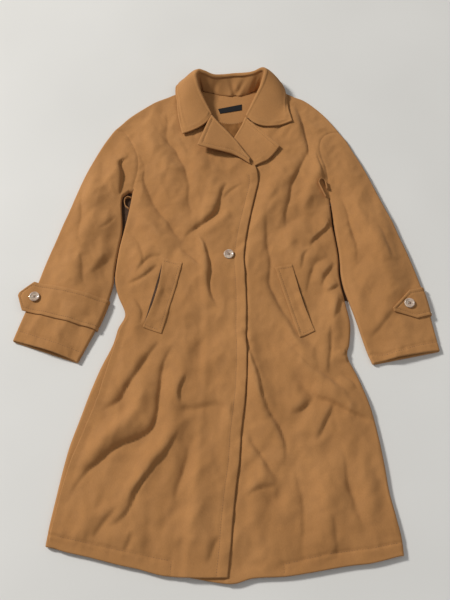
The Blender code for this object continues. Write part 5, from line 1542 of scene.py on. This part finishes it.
def coating():
    """Brushed camel coating: faint twill under a short nap, mottled, paler on sharp edges as wear and as a
    painted highlight.
    """
    found, tree, shader, place = node_tree("camel_coating")
    broad = fibre_noise(tree, place, 7, 3)
    patchy = fibre_noise(tree, place, 55, 4, (1, 0.6, 1))
    nap = fibre_noise(tree, place, 900, 3, (1, 0.28, 1))
    fuzz = fibre_noise(tree, place, 2600, 2)
    twill_map = add_node(tree, "ShaderNodeMapping")
    twill_map.inputs["Rotation"].default_value = (0, 0, math.radians(28))
    wire(tree, place, twill_map.inputs["Vector"])
    twill = add_node(tree, "ShaderNodeTexWave", Scale=210, Distortion=1.6, Detail=1.0)
    wire(tree, twill_map.outputs["Vector"], twill.inputs["Vector"])
    tone = ramp(tree, broad, (0.376, 0.178, 0.060), (0.434, 0.211, 0.075))
    tone = mix(tree, tone, ramp(tree, patchy, (0.90, 0.89, 0.87), (1.07, 1.07, 1.06)), 0.4, "MULTIPLY")
    tone = mix(tree, tone, ramp(tree, nap, (0.84, 0.82, 0.80), (1.12, 1.12, 1.11)), 0.45, "MULTIPLY")
    ribs = ramp(tree, twill.outputs["Fac"], (0.93, 0.92, 0.91), (1.04, 1.04, 1.04))
    tone = mix(tree, tone, ribs, 0.4, "MULTIPLY")
    # Sharp edges are lightened: partly wear, partly a painted highlight that makes the edges read lighter.
    wear_and_highlight = add_node(tree, "ShaderNodeNewGeometry").outputs["Pointiness"]
    edge = ramp(tree, wear_and_highlight, (0, 0, 0), (1, 1, 1), (0.515, 0.60))
    tone = mix(tree, tone, (0.58, 0.33, 0.15), mix(tree, (0.0, 0.0, 0.0), edge, 0.4))
    wire(tree, tone, shader.inputs["Base Color"])
    rough = ramp(tree, patchy, (0.82, 0.82, 0.82), (0.95, 0.95, 0.95))
    wire(tree, rough, shader.inputs["Roughness"])
    surface_values(shader, Specular_IOR_Level=0.22, Sheen_Weight=0.16, Sheen_Roughness=0.5,
                   Sheen_Tint=(0.95, 0.70, 0.46, 1))
    ground = bump(tree, twill.outputs["Fac"], 0.25, 0.0003)
    ground = bump(tree, nap, 0.4, 0.0004, ground)
    wire(tree, bump(tree, fuzz, 0.35, 0.0003, ground), shader.inputs["Normal"])
    return found


def lining_cloth():
    """Smooth tan lining with fine ribs and a soft sheen."""
    found, tree, shader, place = node_tree("tan_lining")
    rib = add_node(tree, "ShaderNodeTexWave", Scale=420, Distortion=0.6, Detail=1.0)
    wire(tree, place, rib.inputs["Vector"])
    cloud = fibre_noise(tree, place, 40, 3)
    tone = ramp(tree, cloud, (0.20, 0.085, 0.024), (0.30, 0.135, 0.042))
    ribs = ramp(tree, rib.outputs["Fac"], (0.88, 0.88, 0.88), (1.06, 1.06, 1.06))
    tone = mix(tree, tone, ribs, 0.5, "MULTIPLY")
    wire(tree, tone, shader.inputs["Base Color"])
    surface_values(shader, Roughness=0.8, Specular_IOR_Level=0.1)
    wire(tree, bump(tree, rib.outputs["Fac"], 0.3, 0.0002), shader.inputs["Normal"])
    return found


def woven(name, scale, distortion, low, high, roughness, specular=0.5):
    """Fine even ribs, for a thread or a woven tape."""
    found, tree, shader, place = node_tree(name)
    rib = add_node(tree, "ShaderNodeTexWave", Scale=scale, Distortion=distortion)
    wire(tree, place, rib.inputs["Vector"])
    wire(tree, ramp(tree, rib.outputs["Fac"], low, high), shader.inputs["Base Color"])
    surface_values(shader, Roughness=roughness, Specular_IOR_Level=specular)
    wire(tree, bump(tree, rib.outputs["Fac"], 0.4, 0.0002), shader.inputs["Normal"])
    return found


def pearly_plastic():
    """Pearly brown-pink plastic, streaked like shell, polished."""
    found, tree, shader, place = node_tree("pearly_plastic")
    streaks = fibre_noise(tree, place, 130, 4, (1, 2.6, 1))
    cloud = fibre_noise(tree, place, 60, 3)
    tone = ramp(tree, streaks, (0.20, 0.11, 0.07), (0.66, 0.49, 0.37), (0.34, 0.66))
    tone = mix(tree, tone, ramp(tree, cloud, (0.50, 0.37, 0.29), (0.86, 0.72, 0.60)), 0.45)
    wire(tree, tone, shader.inputs["Base Color"])
    surface_values(shader, Roughness=0.2, Coat_Weight=0.6, Coat_Roughness=0.08, Subsurface_Weight=0.08)
    wire(tree, bump(tree, cloud, 0.15, 0.0003), shader.inputs["Normal"])
    return found


def plain_cloth(name, low, high):
    """Plain dark weave, for cloth deep inside, with the shade painted into its colour."""
    found, tree, shader, place = node_tree(name)
    wire(tree, ramp(tree, fibre_noise(tree, place, 260, 3), low, high), shader.inputs["Base Color"])
    surface_values(shader, Roughness=0.9)
    wire(tree, bump(tree, fibre_noise(tree, place, 900, 2), 0.3, 0.0003), shader.inputs["Normal"])
    return found


def floor_paint():
    """A plain pale floor."""
    found, tree, shader, place = node_tree("plain_floor")
    tone = ramp(tree, fibre_noise(tree, place, 3, 2), (0.70, 0.695, 0.67), (0.74, 0.735, 0.71))
    wire(tree, tone, shader.inputs["Base Color"])
    surface_values(shader, Roughness=0.55)
    return found


MATERIALS = {
    "cloth": coating(),
    "lining": lining_cloth(),
    "label": woven("black_tape", 600, 0.4, (0.004, 0.004, 0.005), (0.014, 0.014, 0.016), 0.7, 0.2),
    "button": pearly_plastic(),
    # pocket: the pocket bag inside a welt's mouth, coloured very dark as painted shade.
    "pocket": plain_cloth("pocket_bag_painted_in_shade", (0.045, 0.020, 0.008), (0.085, 0.040, 0.016)),
    # shade: the back's cloth between body and sleeve, coloured very dark as painted shade.
    "shade": plain_cloth("coating_painted_in_shade", (0.040, 0.018, 0.007), (0.075, 0.034, 0.013)),
    # thread: topstitching coloured darker than the cloth, painted shade that stands for the shade in the
    # stitch grooves.
    "thread": woven("thread_darkened_as_groove_shade", 900, 0.5, (0.12, 0.055, 0.018), (0.20, 0.095, 0.033), 0.6),
    "button_thread": woven("brown_thread", 900, 0.5, (0.20, 0.10, 0.05), (0.34, 0.19, 0.10), 0.6),
}


# ------------------------------------------------------------------ light and camera
def area_light(name, place, size, power, colour):
    """A square soft light that points at the coat."""
    lamp = bpy.data.lights.new(name, "AREA")
    lamp.energy = power
    lamp.size = size
    lamp.color = colour
    holder = bpy.data.objects.new(name, lamp)
    holder.location = place
    holder.rotation_euler = (-Vector(place)).to_track_quat("-Z", "Y").to_euler()
    bpy.context.scene.collection.objects.link(holder)


def studio():
    """A plain pale floor, one large soft light from the upper left and an even fill."""
    bpy.ops.mesh.primitive_plane_add(size=14, location=(0, 0, -0.0004))
    floor = bpy.context.object
    floor.name = "floor"
    floor.data.materials.append(floor_paint())
    area_light("key", (-5.7, 3.0, 4.9), 1.3, 625, (1.0, 0.98, 0.95))
    area_light("fill", (1.4, -0.9, 2.2), 2.4, 8, (0.93, 0.96, 1.0))
    bpy.context.scene.view_settings.view_transform = "Standard"
    world = bpy.data.worlds.new("room")
    bpy.context.scene.world = world
    world.use_nodes = True
    surface_values(world.node_tree.nodes["Background"], Color=(0.90, 0.89, 0.88, 1), Strength=0.29)


def camera():
    """Where the photograph was taken from."""
    ahead = Vector((-0.03502, 0.43438, -0.90005))
    up = Vector((-0.04232, 0.89915, 0.43559))
    right = Vector((0.99849, 0.05334, -0.01310))
    place = Vector((*(EYE[:2] - MIDDLE), EYE[2]))
    data = bpy.data.cameras.new("photo")
    data.lens = 50.71
    data.sensor_width = 36
    data.clip_start = 0.01
    holder = bpy.data.objects.new("photo", data)
    turned_to = Matrix((right, up, -ahead)).transposed().to_4x4()
    holder.matrix_world = Matrix.Translation(place) @ turned_to
    bpy.context.scene.collection.objects.link(holder)
    bpy.context.scene.camera = holder


# ------------------------------------------------------------------ the coat
def declare(made):
    """Returns what it is given, unchanged."""
    return made


def body():
    """The two fronts and the back."""
    right = front("front_right", LEFT, OVER, amount(SEAM_INSET), SHOULDER_LEFT, HEM_OVER,
                  top_over, SEAMS_RIGHT_FRONT)
    left = front("front_left", RIGHT, UNDER, 0 * amount(SEAM_INSET), SHOULDER_RIGHT, HEM_UNDER,
                 top_under, SEAMS_LEFT_FRONT)
    declare(right)
    declare(left)
    declare((back(), None))


def sleeves():
    """Both sleeves; returns the grids of their outsides for the tabs."""
    on_right = sleeve_ring(LEFT, OVER, SLEEVE_LEFT)
    on_left = sleeve_ring(RIGHT, UNDER, SLEEVE_RIGHT)
    declare(sleeve("sleeve_right", on_right, SEAM_RIGHT_CUFF))
    declare(sleeve("sleeve_left", on_left, SEAM_LEFT_CUFF))
    return on_right, on_left


def collar_and_lapels():
    collar = turned("collar", COLLAR, 3.4 * MM, 9, ["right", "head", "foot"], neck_top, COLLAR_TUCKS)
    declare(collar)
    lapel = turned("lapel_right", LAPEL_RIGHT, 3.4 * MM, 10, ["right", "head"], top_over)
    declare(lapel)
    lapel = turned("lapel_left", LAPEL_LEFT, 2.6 * MM, 12, ["right", "head"], top_under)
    declare(lapel)


def pockets():
    pocket = welt("pocket_welt_right", WELT_RIGHT, top_over, "left", 7 * MM)
    declare(pocket)
    pocket = welt("pocket_welt_left", WELT_LEFT, top_under, "right", 3 * MM)
    declare(pocket)


def neck():
    """What shows inside the neck."""
    facing, lining, label = inside_neck()
    declare(facing)
    declare(lining)
    declare(label)


def under_the_arms():
    """The belt loops, and the back's cloth where it shows beside the body, coloured dark as painted shade."""
    loop = belt_loop("belt_loop_left", LOOP_LEFT, top, 14 * MM)
    declare(loop)
    declare(underarm("underarm_right", SLEEVE_LEFT, LEFT, 24.2, 3.0))
    declare(underarm("underarm_left", SLEEVE_RIGHT, RIGHT, 22.5, -0.5))
    loop = belt_loop("belt_loop_right", LOOP_RIGHT, on_level(2.6 * MM), 5 * MM)
    declare(loop)


def tabs(on_right, on_left):
    """Both sleeve tabs; returns their tops for the buttons."""
    right = declare(tab_right(on_right))
    left = declare(tab_left(on_left))
    return right[2], left[2]


def buttons(tab_tops):
    """The front button on the upper front, and one on each tab."""
    spots = layout([BUTTON_FRONT, BUTTON_TAB_RIGHT, BUTTON_TAB_LEFT], 16 * MM)
    level = float(top_over(*spots[0][:, None])[0])
    button("button_front", spots[0], level + 0.6 * MM, (0.04, -0.03))
    for name, spot, tab_top in zip(("button_tab_right", "button_tab_left"), spots[1:], tab_tops):
        near = tab_top.reshape(-1, 3)
        near = near[np.hypot(near[:, 0] - spot[0], near[:, 1] - spot[1]) < 9 * MM]
        button(name, spot, near[:, 2].max() + 0.3 * MM, (0.02, 0.03))


body()
outsides = sleeves()
collar_and_lapels()
pockets()
neck()
under_the_arms()
buttons(tabs(*outsides))
studio()
camera()
